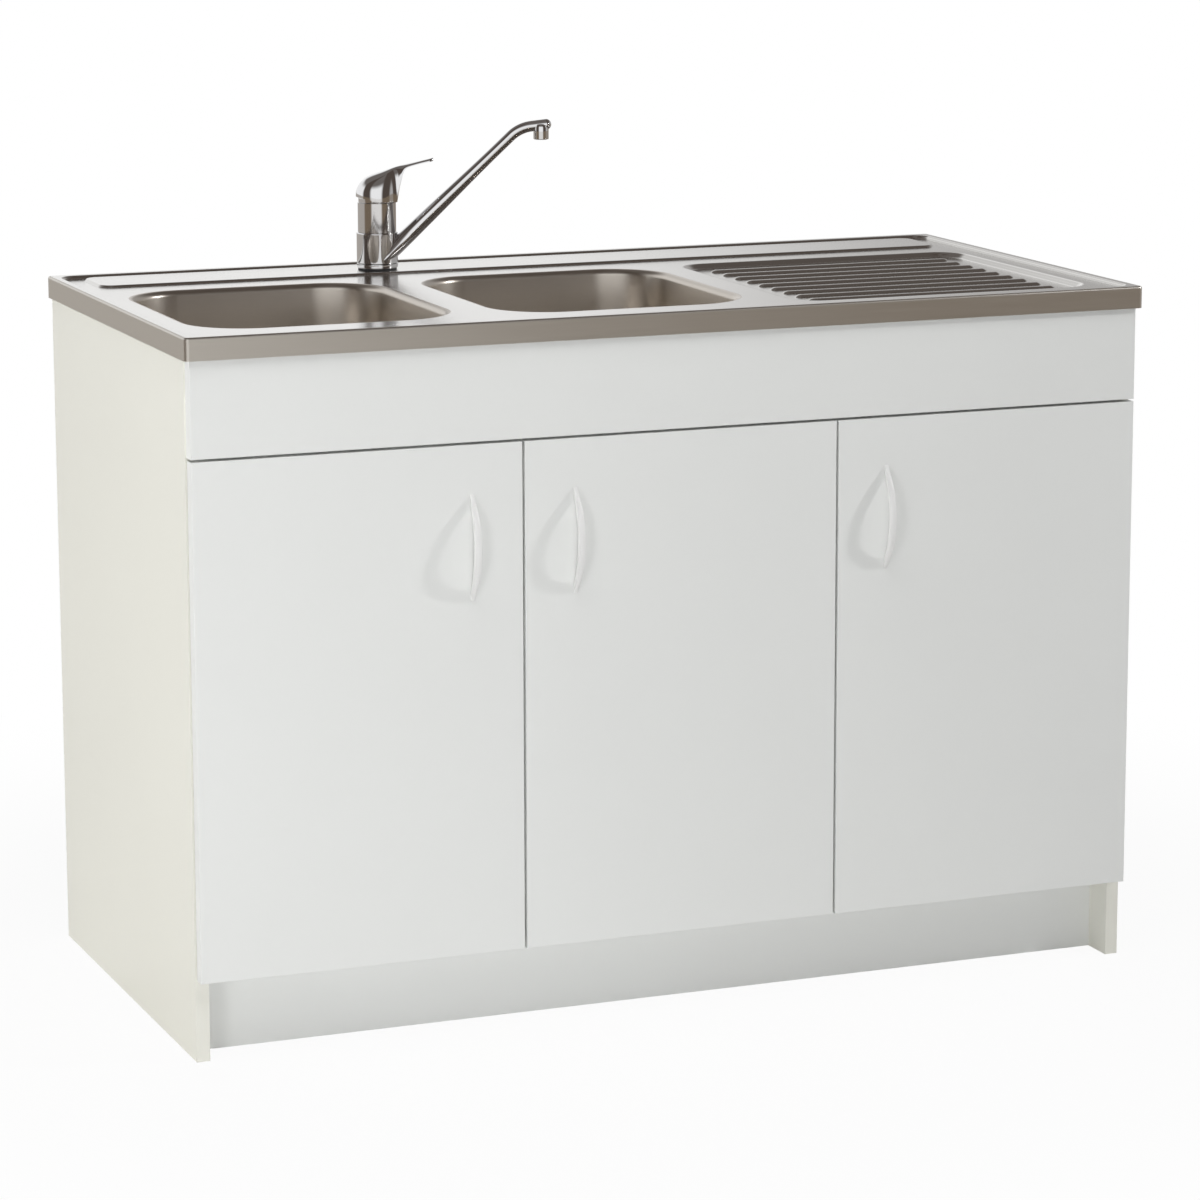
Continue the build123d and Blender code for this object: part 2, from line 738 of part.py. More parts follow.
# Ring nuts: one under each waste, and one over each pipe joint
joint_places = [
    (Vector(left_axis_x, bowl_mid_y, stub_end_z), Vector(0, 0, 1)),
    (Vector(right_axis_x, bowl_mid_y, stub_end_z), Vector(0, 0, 1)),
    (Vector(right_axis_x - tee_port, bowl_mid_y, branch_z), Vector(1, 0, 0)),
]
with BuildPart() as waste_nuts:
    nut_top_z = bowl_floor_z - sheet - gasket_height
    for mid_x in bowl_mid_x:
        nut_top = (mid_x, bowl_mid_y, nut_top_z)
        rod(nut_top, (0, 0, -1), waste_nut_radius, waste_nut_height)
        with Locations(Plane(origin=(mid_x, bowl_mid_y, nut_top_z - waste_nut_height / 2))):
            with PolarLocations(waste_nut_radius, waste_nut_lugs):
                Box(waste_nut_lug, waste_nut_lug, waste_nut_height)
    for mid_x in bowl_mid_x:
        nut_top = (mid_x, bowl_mid_y, nut_top_z)
        bore(nut_top, (0, 0, -1), waste_body_radius, waste_nut_height)
    for middle, way in joint_places:
        foot = middle - way * (coupling_nut_height / 2)
        rod(foot, way, coupling_nut_radius, coupling_nut_height)
    for middle, way in joint_places:
        foot = middle - way * (coupling_nut_height / 2)
        bore(foot, way, pipe_radius + coupling_nut_play, coupling_nut_height)
keep(waste_nuts, "waste_nuts")


def tap_point(along, up, across=0.0):
    """A point given along the spout, above the ledge and across the spout."""
    return tap_origin + tap_along * along + tap_across * across + Vector(0, 0, up)


# Tap body: foot, core inside the spout's ring, and sleeve round the cartridge
with BuildPart() as tap_base:
    outline = [
        (0, -sheet),
        (tap_spigot_radius, -sheet),
        (tap_spigot_radius, tap_seal_height),
        (tap_base_radius - tap_seal_height, tap_seal_height),
        (tap_base_radius, 2 * tap_seal_height),
        (tap_base_radius, tap_base_top),
        (0, tap_base_top),
    ]
    turned(tap_axis, outline, tap_side)
    for across in (-inlet_spacing / 2, inlet_spacing / 2):
        bore(tap_point(0, -sheet, across), (0, 0, 1), inlet_pass_radius, tap_base_top + sheet)
    bore(tap_point(-stud_from_axis, -sheet), (0, 0, 1), stud_radius, tap_base_top + sheet)
keep(tap_base, "tap_base")

with BuildPart() as tap_seal:
    rod(tap_origin, (0, 0, 1), tap_base_radius - tap_seal_height, tap_seal_height)
    bore(tap_origin, (0, 0, 1), tap_spigot_radius, tap_seal_height)
keep(tap_seal, "tap_seal")

with BuildPart() as tap_body:
    outline = [
        (0, tap_base_top),
        (tap_core_radius, tap_base_top),
        (tap_core_radius, sleeve_foot),
        (tap_sleeve_radius, sleeve_foot),
        (tap_sleeve_radius, pivot_height),
        (tap_bore_radius, pivot_height),
        (tap_bore_radius, tap_bore_floor),
        (0, tap_bore_floor),
    ]
    turned(tap_axis, outline, tap_side)
    for across in (-inlet_spacing / 2, inlet_spacing / 2):
        bore(tap_point(0, tap_base_top, across), (0, 0, 1), inlet_radius, inlet_depth)
    bore(tap_point(-stud_from_axis, tap_base_top), (0, 0, 1), stud_radius, stud_grip)
keep(tap_body, "tap_body")

with BuildPart() as tap_stud:
    stud_top = tap_base_top + stud_grip
    rod(tap_point(-stud_from_axis, stud_top), (0, 0, -1), stud_radius, stud_top + stud_drop)
keep(tap_stud, "tap_stud")

# Horseshoe washer and long nut, drawn up under the ledge
with BuildPart() as tap_fixing:
    washer_top = tap_point(0, -sheet)
    rod(washer_top, (0, 0, -1), washer_radius, washer_height)
    with BuildSketch(Plane(origin=washer_top, x_dir=tap_along, z_dir=(0, 0, 1))):
        with Locations((washer_radius / 2, 0)):
            Rectangle(washer_radius + washer_slot, inlet_spacing + 2 * inlet_pass_radius)
    extrude(amount=-washer_height, mode=Mode.SUBTRACT)
    bore(tap_point(-stud_from_axis, -sheet), (0, 0, -1), stud_radius, washer_height)
    with BuildSketch(Plane(origin=tap_point(-stud_from_axis, -sheet - washer_height), z_dir=(0, 0, -1))):
        RegularPolygon(nut_across_flats / 2, 6, major_radius=False)
        Circle(stud_radius, mode=Mode.SUBTRACT)
    extrude(amount=nut_height)
keep(tap_fixing, "tap_fixing")

# Spout: a ring round the body, a neck that thins into a tube, and an outlet boss
with BuildPart() as spout:
    rod(tap_point(0, spout_ring_foot), (0, 0, 1), tap_base_radius, spout_ring_height)
    fillet(spout.edges(), ring_edge_round)
    with BuildLine(tap_side) as spout_line:
        spout_path = FilletPolyline(spout_root, spout_bend, spout_end, radius=spout_bend_radius)
    root_share = spout_taper_length / spout_path.length
    root_plane = Plane(origin=spout_path @ 0, x_dir=tap_across, z_dir=spout_path % 0)
    tube_plane = Plane(origin=spout_path @ root_share, x_dir=tap_across, z_dir=spout_path % root_share)
    with BuildSketch(root_plane) as root_section:
        Ellipse(spout_root_width / 2, spout_root_height / 2)
    with BuildSketch(tube_plane) as tube_section:
        Circle(spout_tube_radius)
    loft([root_section.sketch.face(), tube_section.sketch.face()])
    fillet(spout.edges().filter_by(GeomType.BSPLINE), spout_blend)
    tube_path = spout_path.trim(root_share, 1)
    sweep(tube_section.sketch, path=tube_path)
    with Locations(spout_path @ 1):
        Sphere(spout_tube_radius)
    outlet_foot = tap_point(outlet_from_axis, outlet_rise)
    rod(outlet_foot, (0, 0, 1), outlet_radius, spout_end[1] - outlet_rise)
    bore(tap_point(0, spout_ring_foot), (0, 0, 1), tap_core_radius + spout_running_gap, spout_ring_height)
    bore(tap_point(0, spout_ring_top), (0, 0, 1), tap_sleeve_radius + spout_sleeve_play, spout_ring_height)
    bore(outlet_foot, (0, 0, 1), aerator_bore, aerator_seat)
keep(spout, "spout")

with BuildPart() as aerator:
    rod(outlet_foot, (0, 0, -1), outlet_radius, aerator_height)
    fillet(aerator.faces().sort_by(Axis.Z)[0].edges(), ring_edge_round)
    rod(outlet_foot, (0, 0, 1), aerator_bore, aerator_seat)
    bore(outlet_foot - Vector(0, 0, aerator_height), (0, 0, 1), aerator_bore, aerator_seat)
keep(aerator, "aerator")

# Cartridge: housing, ring nut, turning rotor with its cross pin, and cap
with BuildPart() as cartridge_housing:
    rod(tap_point(0, tap_bore_floor), (0, 0, 1), housing_radius, housing_top - tap_bore_floor)
    bore(tap_point(0, rotor_foot), (0, 0, 1), rotor_radius + rotor_running_gap, housing_top - rotor_foot)
keep(cartridge_housing, "cartridge_housing")

with BuildPart() as cartridge_nut:
    rod(tap_point(0, housing_top), (0, 0, 1), tap_bore_radius, cartridge_nut_height)
    bore(tap_point(0, housing_top), (0, 0, 1), cartridge_nut_bore, cartridge_nut_height)
keep(cartridge_nut, "cartridge_nut")

with BuildPart() as cartridge_cap:
    outline = [
        (cap_opening_radius, pivot_height),
        (cap_radius, pivot_height),
        (cap_radius, pivot_height + cap_height - cap_edge),
        (cap_radius - cap_edge, pivot_height + cap_height),
        (cap_opening_radius, pivot_height + cap_height),
    ]
    turned(tap_axis, outline, tap_side)
keep(cartridge_cap, "cartridge_cap")

with BuildPart() as cartridge_rotor:
    rod(tap_point(0, rotor_foot), (0, 0, 1), rotor_radius, housing_top - rotor_foot)
    rod(tap_point(0, housing_top), (0, 0, 1), cheek_radius, pivot_height + cheek_rise - housing_top)
    slot_foot = pivot_height - spindle_drop - 2 * pivot_pin_radius
    with BuildSketch(Plane(origin=tap_point(0, slot_foot), x_dir=tap_along, z_dir=(0, 0, 1))):
        Rectangle(3 * rotor_radius, spindle_width + 2 * spindle_play)
    extrude(amount=pivot_height, mode=Mode.SUBTRACT)
    bore(tap_point(0, pivot_height, -rotor_radius), tap_across, pivot_pin_radius, 2 * rotor_radius)
keep(cartridge_rotor, "cartridge_rotor")

with BuildPart() as rotor_pin:
    pin_half = cheek_radius - pivot_pin_radius / 2
    rod(tap_point(0, pivot_height, -pin_half), tap_across, pivot_pin_radius, 2 * pin_half)
keep(rotor_pin, "rotor_pin")

with BuildPart() as spindle:
    spindle_foot = tap_point(0, pivot_height - spindle_drop)
    with BuildSketch(Plane(origin=spindle_foot, x_dir=tap_along, z_dir=(0, 0, 1))):
        Rectangle(spindle_depth, spindle_width)
    extrude(amount=spindle_drop + spindle_rise)
    bore(
        tap_point(0, pivot_height, -spindle_width), tap_across,
        pivot_pin_radius + pivot_running_gap, 2 * spindle_width,
    )
keep(spindle, "spindle")

# Lever: the side outline cut to the plan outline, then hollowed over the cartridge
with BuildPart() as lever:
    with BuildSketch(Plane(origin=tap_point(0, pivot_height), x_dir=tap_along, z_dir=tap_across)):
        with BuildLine():
            front_foot = (lever_skirt_radius, lever_front_edge)
            rear_foot = (-lever_skirt_radius, lever_rear_edge)
            blade_end_x = lever_tip + lever_tip_radius
            blade_under = Spline(
                front_foot, (28.6, 17.0), (31.3, 28.0), (35.0, 40.0), (48.0, 46.5), (blade_end_x, 51.0),
                tangents=[(0.12, 1), (1, 0.25)],
            )
            blade_end = Line(blade_under @ 1, (blade_end_x, 55.0))
            blade_top = Spline(
                blade_end @ 1, (47.0, 49.5), (27.0, 45.0), (8.0, 38.6),
                (-12.3, 31.5), (-23.6, 19.0), rear_foot,
                tangents=[(-1, -0.28), (-0.1, -1)],
            )
            Line(blade_top @ 1, blade_under @ 0)
        make_face()
    extrude(amount=lever_skirt_radius, both=True)
    with BuildSketch(Plane(origin=tap_point(0, pivot_height), x_dir=tap_along, z_dir=(0, 0, 1))):
        Circle(lever_skirt_radius)
        with BuildLine():
            Polyline(
                (0, lever_root_half_width + lever_shoulder),
                (lever_root_at, lever_root_half_width),
                (lever_tip, lever_tip_radius),
                (lever_tip, -lever_tip_radius),
                (lever_root_at, -lever_root_half_width),
                (0, -lever_root_half_width - lever_shoulder),
                close=True,
            )
        make_face()
        with Locations((lever_tip, 0)):
            Circle(lever_tip_radius)
    extrude(amount=4 * lever_skirt_radius, mode=Mode.INTERSECT)
    cavity = [
        (0, -lever_front_edge),
        (lever_skirt_bore, -lever_front_edge),
        (lever_skirt_bore, lever_cavity_height - lever_cavity_step),
        (lever_cavity_top_radius, lever_cavity_ceiling),
        (lever_boss_radius, lever_cavity_ceiling),
        (lever_boss_radius, lever_boss_foot),
        (0, lever_boss_foot),
    ]
    lever_side = Plane(origin=tap_point(0, pivot_height), x_dir=tap_along, z_dir=tap_across)
    turned(tap_axis, cavity, lever_side, mode=Mode.SUBTRACT)
    with BuildSketch(Plane(origin=tap_point(0, pivot_height), x_dir=tap_along, z_dir=(0, 0, 1))):
        Rectangle(spindle_depth, spindle_width)
    extrude(amount=spindle_rise, mode=Mode.SUBTRACT)
    bore(
        tap_point(spindle_depth / 2, pivot_height + lever_screw_height), tap_along,
        lever_screw_radius, 2 * lever_skirt_radius,
    )
keep(lever, "lever")

with BuildPart() as lever_screw:
    rod(
        tap_point(spindle_depth / 2, pivot_height + lever_screw_height), tap_along,
        lever_screw_radius, lever_screw_length,
    )
keep(lever_screw, "lever_screw")


def hinge_point(edge_x, way, inward, backward, z):
    """A point given from a door's hinge edge and from its back face."""
    return Vector(edge_x + way * inward, door_back_y + backward, z)


def handle_ends(edge_x, way):
    """The two screw axes of a handle, on the door's back face."""
    x = edge_x + way * (door_width - handle_from_edge)
    mid_z = door_top_z - handle_from_top - handle_length / 2
    return [Vector(x, door_back_y, mid_z + k * handle_hole_spacing / 2) for k in (-1, 1)]


# Doors with their bow handles, screws and hinge cups; way points from the hinge edge inwards
door_names = ("left", "middle", "right")
hinge_edges = (door_left_edges[0], door_left_edges[1] + door_width, door_left_edges[2] + door_width)
hinge_ways = (1, -1, -1)
for name, left_edge, edge_x, way in zip(door_names, door_left_edges, hinge_edges, hinge_ways):
    with BuildPart() as door:
        block((left_edge, door_front_y, door_bottom_z), (left_edge + door_width, door_back_y, door_top_z))
        fillet(door.faces().sort_by(Axis.Y)[0].edges(), door_edge_round)
        for z in hinge_heights:
            cup_mouth = hinge_point(edge_x, way, cup_centre_in, 0, z)
            bore(cup_mouth, (0, -1, 0), cup_radius, cup_depth)
        for end in handle_ends(edge_x, way):
            bore(end, (0, -1, 0), handle_screw_hole_radius, door_thickness)
    keep(door, f"door_{name}")

    lower_end, upper_end = handle_ends(edge_x, way)
    handle_mid = (lower_end + upper_end) / 2
    with BuildPart() as handle:
        bow_origin = (handle_mid.X, door_front_y, handle_mid.Z)
        bow_plane = Plane(origin=bow_origin, x_dir=(0, -1, 0), z_dir=(1, 0, 0))
        half = handle_length / 2
        inner_half_length = half - handle_foot
        with BuildSketch(bow_plane):
            with BuildLine():
                outer_bow = ThreePointArc((0, -half), (handle_reach, 0), (0, half))
                Line(outer_bow @ 1, (0, inner_half_length))
                inner_bow = ThreePointArc(
                    (0, inner_half_length), (handle_reach - handle_thickness, 0), (0, -inner_half_length)
                )
                Line(inner_bow @ 1, outer_bow @ 0)
            make_face()
        extrude(amount=handle_width / 2, both=True)
        bow_edges = handle.edges().filter_by(GeomType.CIRCLE).group_by(SortBy.LENGTH)[-1]
        fillet(bow_edges, handle_round)
        for end in (lower_end, upper_end):
            start = Vector(end.X, door_front_y, end.Z)
            bore(start, (0, -1, 0), handle_screw_radius, handle_screw_bite)
    keep(handle, f"handle_{name}")

    with BuildPart() as handle_screws:
        for end in (lower_end, upper_end):
            rod(end, (0, 1, 0), handle_screw_head_radius, handle_screw_head_height)
            rod(end, (0, -1, 0), handle_screw_radius, door_thickness + handle_screw_bite)
    keep(handle_screws, f"handle_screws_{name}")

    with BuildPart() as hinge_cups:
        for z in hinge_heights:
            mouth = hinge_point(edge_x, way, cup_centre_in, 0, z)
            rod(mouth, (0, -1, 0), cup_radius, cup_depth)
            rod(mouth, (0, 1, 0), cup_flange_radius, cup_flange_height)
            wing_in = cup_centre_in + cup_wing_width / 2
            with Locations(hinge_point(edge_x, way, wing_in, cup_flange_height / 2, z)):
                Box(cup_wing_width, cup_flange_height, cup_wing_length)
        for z in hinge_heights:
            top = hinge_point(edge_x, way, cup_centre_in, cup_flange_height, z)
            hollow = cup_depth - cup_wall + cup_flange_height
            bore(top, (0, -1, 0), cup_radius - cup_wall, hollow)
            relief_mid = hinge_point(edge_x, way, cup_centre_in + cup_radius, cup_flange_height, z)
            relief_height = 2 * (cup_relief_depth + cup_flange_height)
            with Locations(relief_mid):
                Box(cup_radius, relief_height, link_width + 2 * cup_relief_play, mode=Mode.SUBTRACT)
        pin_offset = cup_centre_in - cup_pivot_in + hinge_pin_radius
        pin_half = ((cup_radius - cup_wall / 2) ** 2 - pin_offset**2) ** 0.5
        for z in hinge_heights:
            pin_foot = hinge_point(edge_x, way, cup_pivot_in, -cup_pivot_deep, z - pin_half)
            rod(pin_foot, (0, 0, 1), hinge_pin_radius, 2 * pin_half)
    keep(hinge_cups, f"hinge_cups_{name}")

    # One steel link for each hinge, between the arm's pin and the cup's pin
    with BuildPart() as hinge_links:
        for z in hinge_heights:
            near = hinge_point(edge_x, way, cup_pivot_in, -cup_pivot_deep, z - link_width / 2)
            far = hinge_point(edge_x, way, arm_pivot_in, arm_pivot_back, z - link_width / 2)
            along = (far - near).normalized()
            with BuildSketch(Plane(origin=(near + far) / 2, x_dir=along, z_dir=(0, 0, 1))):
                reach = (far - near).length
                Rectangle(reach, link_thickness)
                with Locations((-reach / 2, 0), (reach / 2, 0)):
                    Circle(link_eye_radius)
                    Circle(hinge_pin_radius + hinge_running_gap, mode=Mode.SUBTRACT)
            extrude(amount=link_width)
    keep(hinge_links, f"hinge_links_{name}")

# Hinge arms and their mounting plates, on the side panels and the partition
hinge_faces = (-inner_half, partition_left_x, inner_half)
with BuildPart() as hinge_arms:
    arm_half = link_width / 2 + arm_side_play + arm_cheek
    slot_half = link_width / 2 + arm_side_play
    for edge_x, way in zip(hinge_edges, hinge_ways):
        for z in hinge_heights:
            pivot = hinge_point(edge_x, way, arm_pivot_in, arm_pivot_back, z)
            elbow = hinge_point(edge_x, way, arm_bar_in, arm_bar_back, z)
            along = (elbow - pivot).normalized()
            bar_mid = (pivot + elbow) / 2 - Vector(0, 0, arm_half)
            with BuildSketch(Plane(origin=bar_mid, x_dir=along, z_dir=(0, 0, 1))):
                SlotCenterToCenter((elbow - pivot).length, arm_bar_width)
            extrude(amount=2 * arm_half)
            foot_low = hinge_point(edge_x, way, plate_top_in, arm_foot_back, z)
            foot_mid = foot_low + Vector(way * arm_foot_height / 2, arm_foot_length / 2, 0)
            with Locations(foot_mid):
                Box(arm_foot_height, arm_foot_length, 2 * arm_half)
    for edge_x, way in zip(hinge_edges, hinge_ways):
        for z in hinge_heights:
            nose = hinge_point(edge_x, way, arm_pivot_in, arm_pivot_back, z)
            with Locations(nose):
                Box(arm_slot_length, arm_slot_depth, 2 * slot_half, mode=Mode.SUBTRACT)
    for edge_x, way in zip(hinge_edges, hinge_ways):
        for z in hinge_heights:
            pin_foot = hinge_point(edge_x, way, arm_pivot_in, arm_pivot_back, z - slot_half - arm_cheek / 2)
            rod(pin_foot, (0, 0, 1), hinge_pin_radius, 2 * slot_half + arm_cheek)
keep(hinge_arms, "hinge_arms")

with BuildPart() as hinge_plates:
    for edge_x, way, face_x in zip(hinge_edges, hinge_ways, hinge_faces):
        for z in hinge_heights:
            top = hinge_point(edge_x, way, plate_top_in, arm_foot_back + plate_from_arm_foot, z)
            low = (min(face_x, top.X), top.Y, z - plate_height / 2)
            high = (max(face_x, top.X), top.Y + plate_length, z + plate_height / 2)
            block(low, high)
keep(hinge_plates, "hinge_plates")

# Soft buffers that the closed doors rest against
with BuildPart() as door_buffers:
    for edge_x, way in zip(hinge_edges, hinge_ways):
        free_x = edge_x + way * (door_width - buffer_inset)
        for z in (door_bottom_z + board / 2, door_top_z - board / 2):
            rod((free_x, panel_front_y, z), (0, -1, 0), buffer_radius, door_back_gap - buffer_gap)
keep(door_buffers, "door_buffers")
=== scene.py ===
import json
import math

import bmesh
import bpy
from mathutils import Matrix, Vector
from mathutils.geometry import delaunay_2d_cdt


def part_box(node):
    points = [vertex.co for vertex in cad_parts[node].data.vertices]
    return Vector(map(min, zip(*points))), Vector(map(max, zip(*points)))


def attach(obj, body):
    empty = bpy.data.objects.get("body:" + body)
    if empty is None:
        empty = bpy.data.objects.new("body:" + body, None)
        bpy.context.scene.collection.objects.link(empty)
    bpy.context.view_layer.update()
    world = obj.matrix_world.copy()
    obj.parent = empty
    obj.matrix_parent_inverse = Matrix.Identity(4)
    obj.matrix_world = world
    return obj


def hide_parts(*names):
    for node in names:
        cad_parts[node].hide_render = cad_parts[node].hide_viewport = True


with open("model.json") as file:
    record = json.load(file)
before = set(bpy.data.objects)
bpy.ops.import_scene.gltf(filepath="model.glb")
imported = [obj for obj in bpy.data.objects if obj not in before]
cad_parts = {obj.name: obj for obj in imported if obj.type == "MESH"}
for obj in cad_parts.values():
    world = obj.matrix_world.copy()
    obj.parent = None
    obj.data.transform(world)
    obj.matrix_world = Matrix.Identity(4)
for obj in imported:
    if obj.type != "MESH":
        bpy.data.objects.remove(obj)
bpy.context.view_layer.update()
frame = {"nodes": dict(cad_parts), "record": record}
nodes = frame["nodes"]
bodies = frame["record"]["behaviour"]["bodies"]
bodyOf = {node: body for body, members in bodies.items() for node in members}
slotOf = {part["node"]: part["material_slot"] for part in frame["record"]["subparts"]}
mm = 0.001
weld = 0.002 * mm  # corners closer than this are one
doorSides = ("left", "middle", "right")
print("frame loaded:", len(nodes), "nodes")


class Val:  # a shader socket that takes part in Python sums
    def __init__(self, shade, socket):
        self.shade = shade
        self.socket = socket

    def maths(self, operation, other, flip=False):
        first, second = (other, self) if flip else (self, other)
        return self.shade.node("ShaderNodeMath", {"operation": operation}, {0: first, 1: second})

    def __add__(self, other):
        return self.maths("ADD", other)

    def __sub__(self, other):
        return self.maths("SUBTRACT", other)

    def __rsub__(self, other):
        return self.maths("SUBTRACT", other, flip=True)

    def __mul__(self, other):
        return self.maths("MULTIPLY", other)

    def atLeast(self, other):
        return self.maths("MAXIMUM", other)

    __radd__ = __add__
    __rmul__ = __mul__


class Shade:  # the node tree of one material or of the world
    def __init__(self, owner):
        owner.use_nodes = True
        self.owner = owner
        self.tree = owner.node_tree

    def put(self, socket, value):
        if isinstance(value, Val):
            self.tree.links.new(value.socket, socket)
        else:
            socket.default_value = value

    def node(self, kind, settings=None, sockets=None, out=0):
        made = self.tree.nodes.new(kind)
        for key, value in (settings or {}).items():
            setattr(made, key, value)
        for key, value in (sockets or {}).items():
            self.put(made.inputs[key], value)
        return Val(self, made.outputs[out])

    def mix(self, factor, first, second):
        return self.node("ShaderNodeMix", {"data_type": "RGBA"}, {0: factor, 6: first, 7: second}, out=2)

    def noise(self, stretch, detail):  # cloud from 0 to 1 in object space, stretch in cycles per metre
        place = self.node("ShaderNodeTexCoord", out="Object")
        turned = self.node("ShaderNodeMapping", None, {"Vector": place, "Scale": stretch})
        return self.node("ShaderNodeTexNoise", None, {"Vector": turned, "Scale": 1.0, "Detail": detail})

    def bump(self, height, strength, distance):
        sockets = {"Height": height, "Strength": strength, "Distance": distance}
        return self.node("ShaderNodeBump", None, sockets)

    def skin(self, sockets):
        surface = self.tree.nodes["Principled BSDF"]
        for key, value in sockets.items():
            self.put(surface.inputs[key], value)
        return self.owner


def colour(r, g, b):
    return (r, g, b, 1.0)


def dulled(tint, share):
    return colour(*[c * share for c in tint])


# in the looks below a noise is its stretch and its detail
boardLook = {
    "cloud": ((3, 3, 3), 3), "grain": ((1400, 1400, 1400), 2), "dull": 0.965,
    "cloudShine": 0.1, "grainShine": 0.06, "grainDepth": 0.15 * mm, "specular": 0.4,
}


def boardFinish(name, tint, shine, relief):  # faced board with a faint pearl grain
    look = boardLook
    shade = Shade(bpy.data.materials.new(name))
    cloud = shade.noise(*look["cloud"])
    grain = shade.noise(*look["grain"])
    return shade.skin({
        "Base Color": shade.mix(cloud, dulled(tint, look["dull"]), colour(*tint)),
        "Roughness": shine + look["cloudShine"] * (cloud - 0.5) + look["grainShine"] * (grain - 0.5),
        "Normal": shade.bump(grain, relief, look["grainDepth"]),
        "Specular IOR Level": look["specular"],
    })


steelLook = {
    "cloud": ((5, 5, 5), 2), "streakDetail": 3, "dull": 0.95,
    "cloudShine": 0.05, "streakShine": 0.06, "streakDepth": 0.05 * mm,
}


def steelFinish(name, tint, shine, stretch, relief, evenness=1):  # drawn or brushed metal
    look = steelLook
    shade = Shade(bpy.data.materials.new(name))
    cloud = shade.noise(*look["cloud"])
    streak = shade.noise(stretch, look["streakDetail"])
    spread = look["streakShine"] / evenness
    return shade.skin({
        "Base Color": shade.mix(streak, dulled(tint, look["dull"]), colour(*tint)),
        "Metallic": 1.0,
        "Roughness": shine + spread * (streak - 0.5) + look["cloudShine"] * (cloud - 0.5),
        "Normal": shade.bump(streak, relief, look["streakDepth"]),
    })


plasticLook = {
    "cloud": ((40, 40, 40), 3), "grain": ((2500, 2500, 2500), 1), "dull": 0.95,
    "cloudShine": 0.08, "grainDepth": 0.1 * mm,
}


def plasticFinish(name, tint, shine, relief=0.05, coat=0.0):  # moulded plastic or rubber
    look = plasticLook
    shade = Shade(bpy.data.materials.new(name))
    cloud = shade.noise(*look["cloud"])
    grain = shade.noise(*look["grain"])
    return shade.skin({
        "Base Color": shade.mix(cloud, dulled(tint, look["dull"]), colour(*tint)),
        "Roughness": shine + look["cloudShine"] * (cloud - 0.5),
        "Normal": shade.bump(grain, relief, look["grainDepth"]),
        "Coat Weight": coat,
    })


whiteFace = boardFinish("whiteFace", (0.816, 0.826, 0.81), shine=0.42, relief=0.1)
creamFace = boardFinish("creamFace", (0.83, 0.825, 0.755), shine=0.45, relief=0.1)
deckSteel = steelFinish("deckSteel", (0.7, 0.69, 0.67), shine=0.17, stretch=(14, 600, 600), relief=0.03)
rimSteel = steelFinish("rimSteel", (0.73, 0.7, 0.65), shine=0.4, stretch=(14, 600, 600), relief=0.05)
# painted shade: the bowls' darker, browner tint stands for the shade in their deep hollows; their rougher
# finish is real
shadedBowlSteel = steelFinish("shadedBowlSteel", (0.62, 0.575, 0.52), shine=0.31, stretch=(60, 420, 420), relief=0.05)
chromeSkin = steelFinish(
    "chromeSkin", (0.8, 0.8, 0.81), shine=0.06, stretch=(30, 30, 30), relief=0, evenness=2,
)
nickelSkin = steelFinish("nickelSkin", (0.7, 0.69, 0.67), shine=0.27, stretch=(300, 300, 40), relief=0.04)
zincSkin = steelFinish("zincSkin", (0.6, 0.61, 0.62), shine=0.38, stretch=(220, 220, 220), relief=0.08)
brassSkin = steelFinish("brassSkin", (0.72, 0.55, 0.28), shine=0.3, stretch=(200, 200, 60), relief=0.05)
handleSkin = plasticFinish("handleSkin", (0.85, 0.85, 0.84), shine=0.3, relief=0.03, coat=0.3)
pipeSkin = plasticFinish("pipeSkin", (0.82, 0.82, 0.8), shine=0.38)
greySkin = plasticFinish("greySkin", (0.42, 0.43, 0.44), shine=0.45)
rubberSkin = plasticFinish("rubberSkin", (0.03, 0.03, 0.032), shine=0.65, relief=0.2)
bufferSkin = plasticFinish("bufferSkin", (0.72, 0.72, 0.7), shine=0.35)
finishes = {  # by material slot, for the pieces that keep their CAD form
    "white_board": whiteFace, "chrome": chromeSkin, "polished_steel": nickelSkin, "brass": brassSkin,
    "hinge_steel": nickelSkin, "zinc": zincSkin, "white_plastic": pipeSkin, "grey_plastic": greySkin,
    "black_rubber": rubberSkin, "clear_buffer": bufferSkin,
}
print("finishes made:", len(bpy.data.materials))


def meshObject(name, verts, faces, skins):
    mesh = bpy.data.meshes.new(name)
    mesh.from_pydata(verts, [], faces)
    for skin in skins:
        mesh.materials.append(skin)
    made = bpy.data.objects.new(name, mesh)
    bpy.context.scene.collection.objects.link(made)
    return made


def closed(made, gap):  # welded corners and faces that look outwards
    work = bmesh.new()
    work.from_mesh(made.data)
    bmesh.ops.remove_doubles(work, verts=work.verts, dist=gap)
    bmesh.ops.recalc_face_normals(work, faces=work.faces)
    work.to_mesh(made.data)
    work.free()
    return made


def smooth(made, angle):  # soft shading with edges kept sharp past an angle
    mesh = made.data
    if "custom_normal" in mesh.attributes:
        mesh.attributes.remove(mesh.attributes["custom_normal"])
    mesh.shade_smooth()
    mesh.set_sharp_from_angle(angle=math.radians(angle))


def baked(made):  # live modifiers become a plain mesh
    graph = bpy.context.evaluated_depsgraph_get()
    plain = bpy.data.meshes.new_from_object(made.evaluated_get(graph))
    made.modifiers.clear()
    made.data = plain


def standFor(made, body, replaced):
    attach(made, body)
    if replaced:
        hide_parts(*replaced)


def middleOf(low, high):  # of a box, seen from above
    return ((low.x + high.x) / 2, (low.y + high.y) / 2)


def halfOf(low, high):
    return ((high.x - low.x) / 2, (high.y - low.y) / 2)


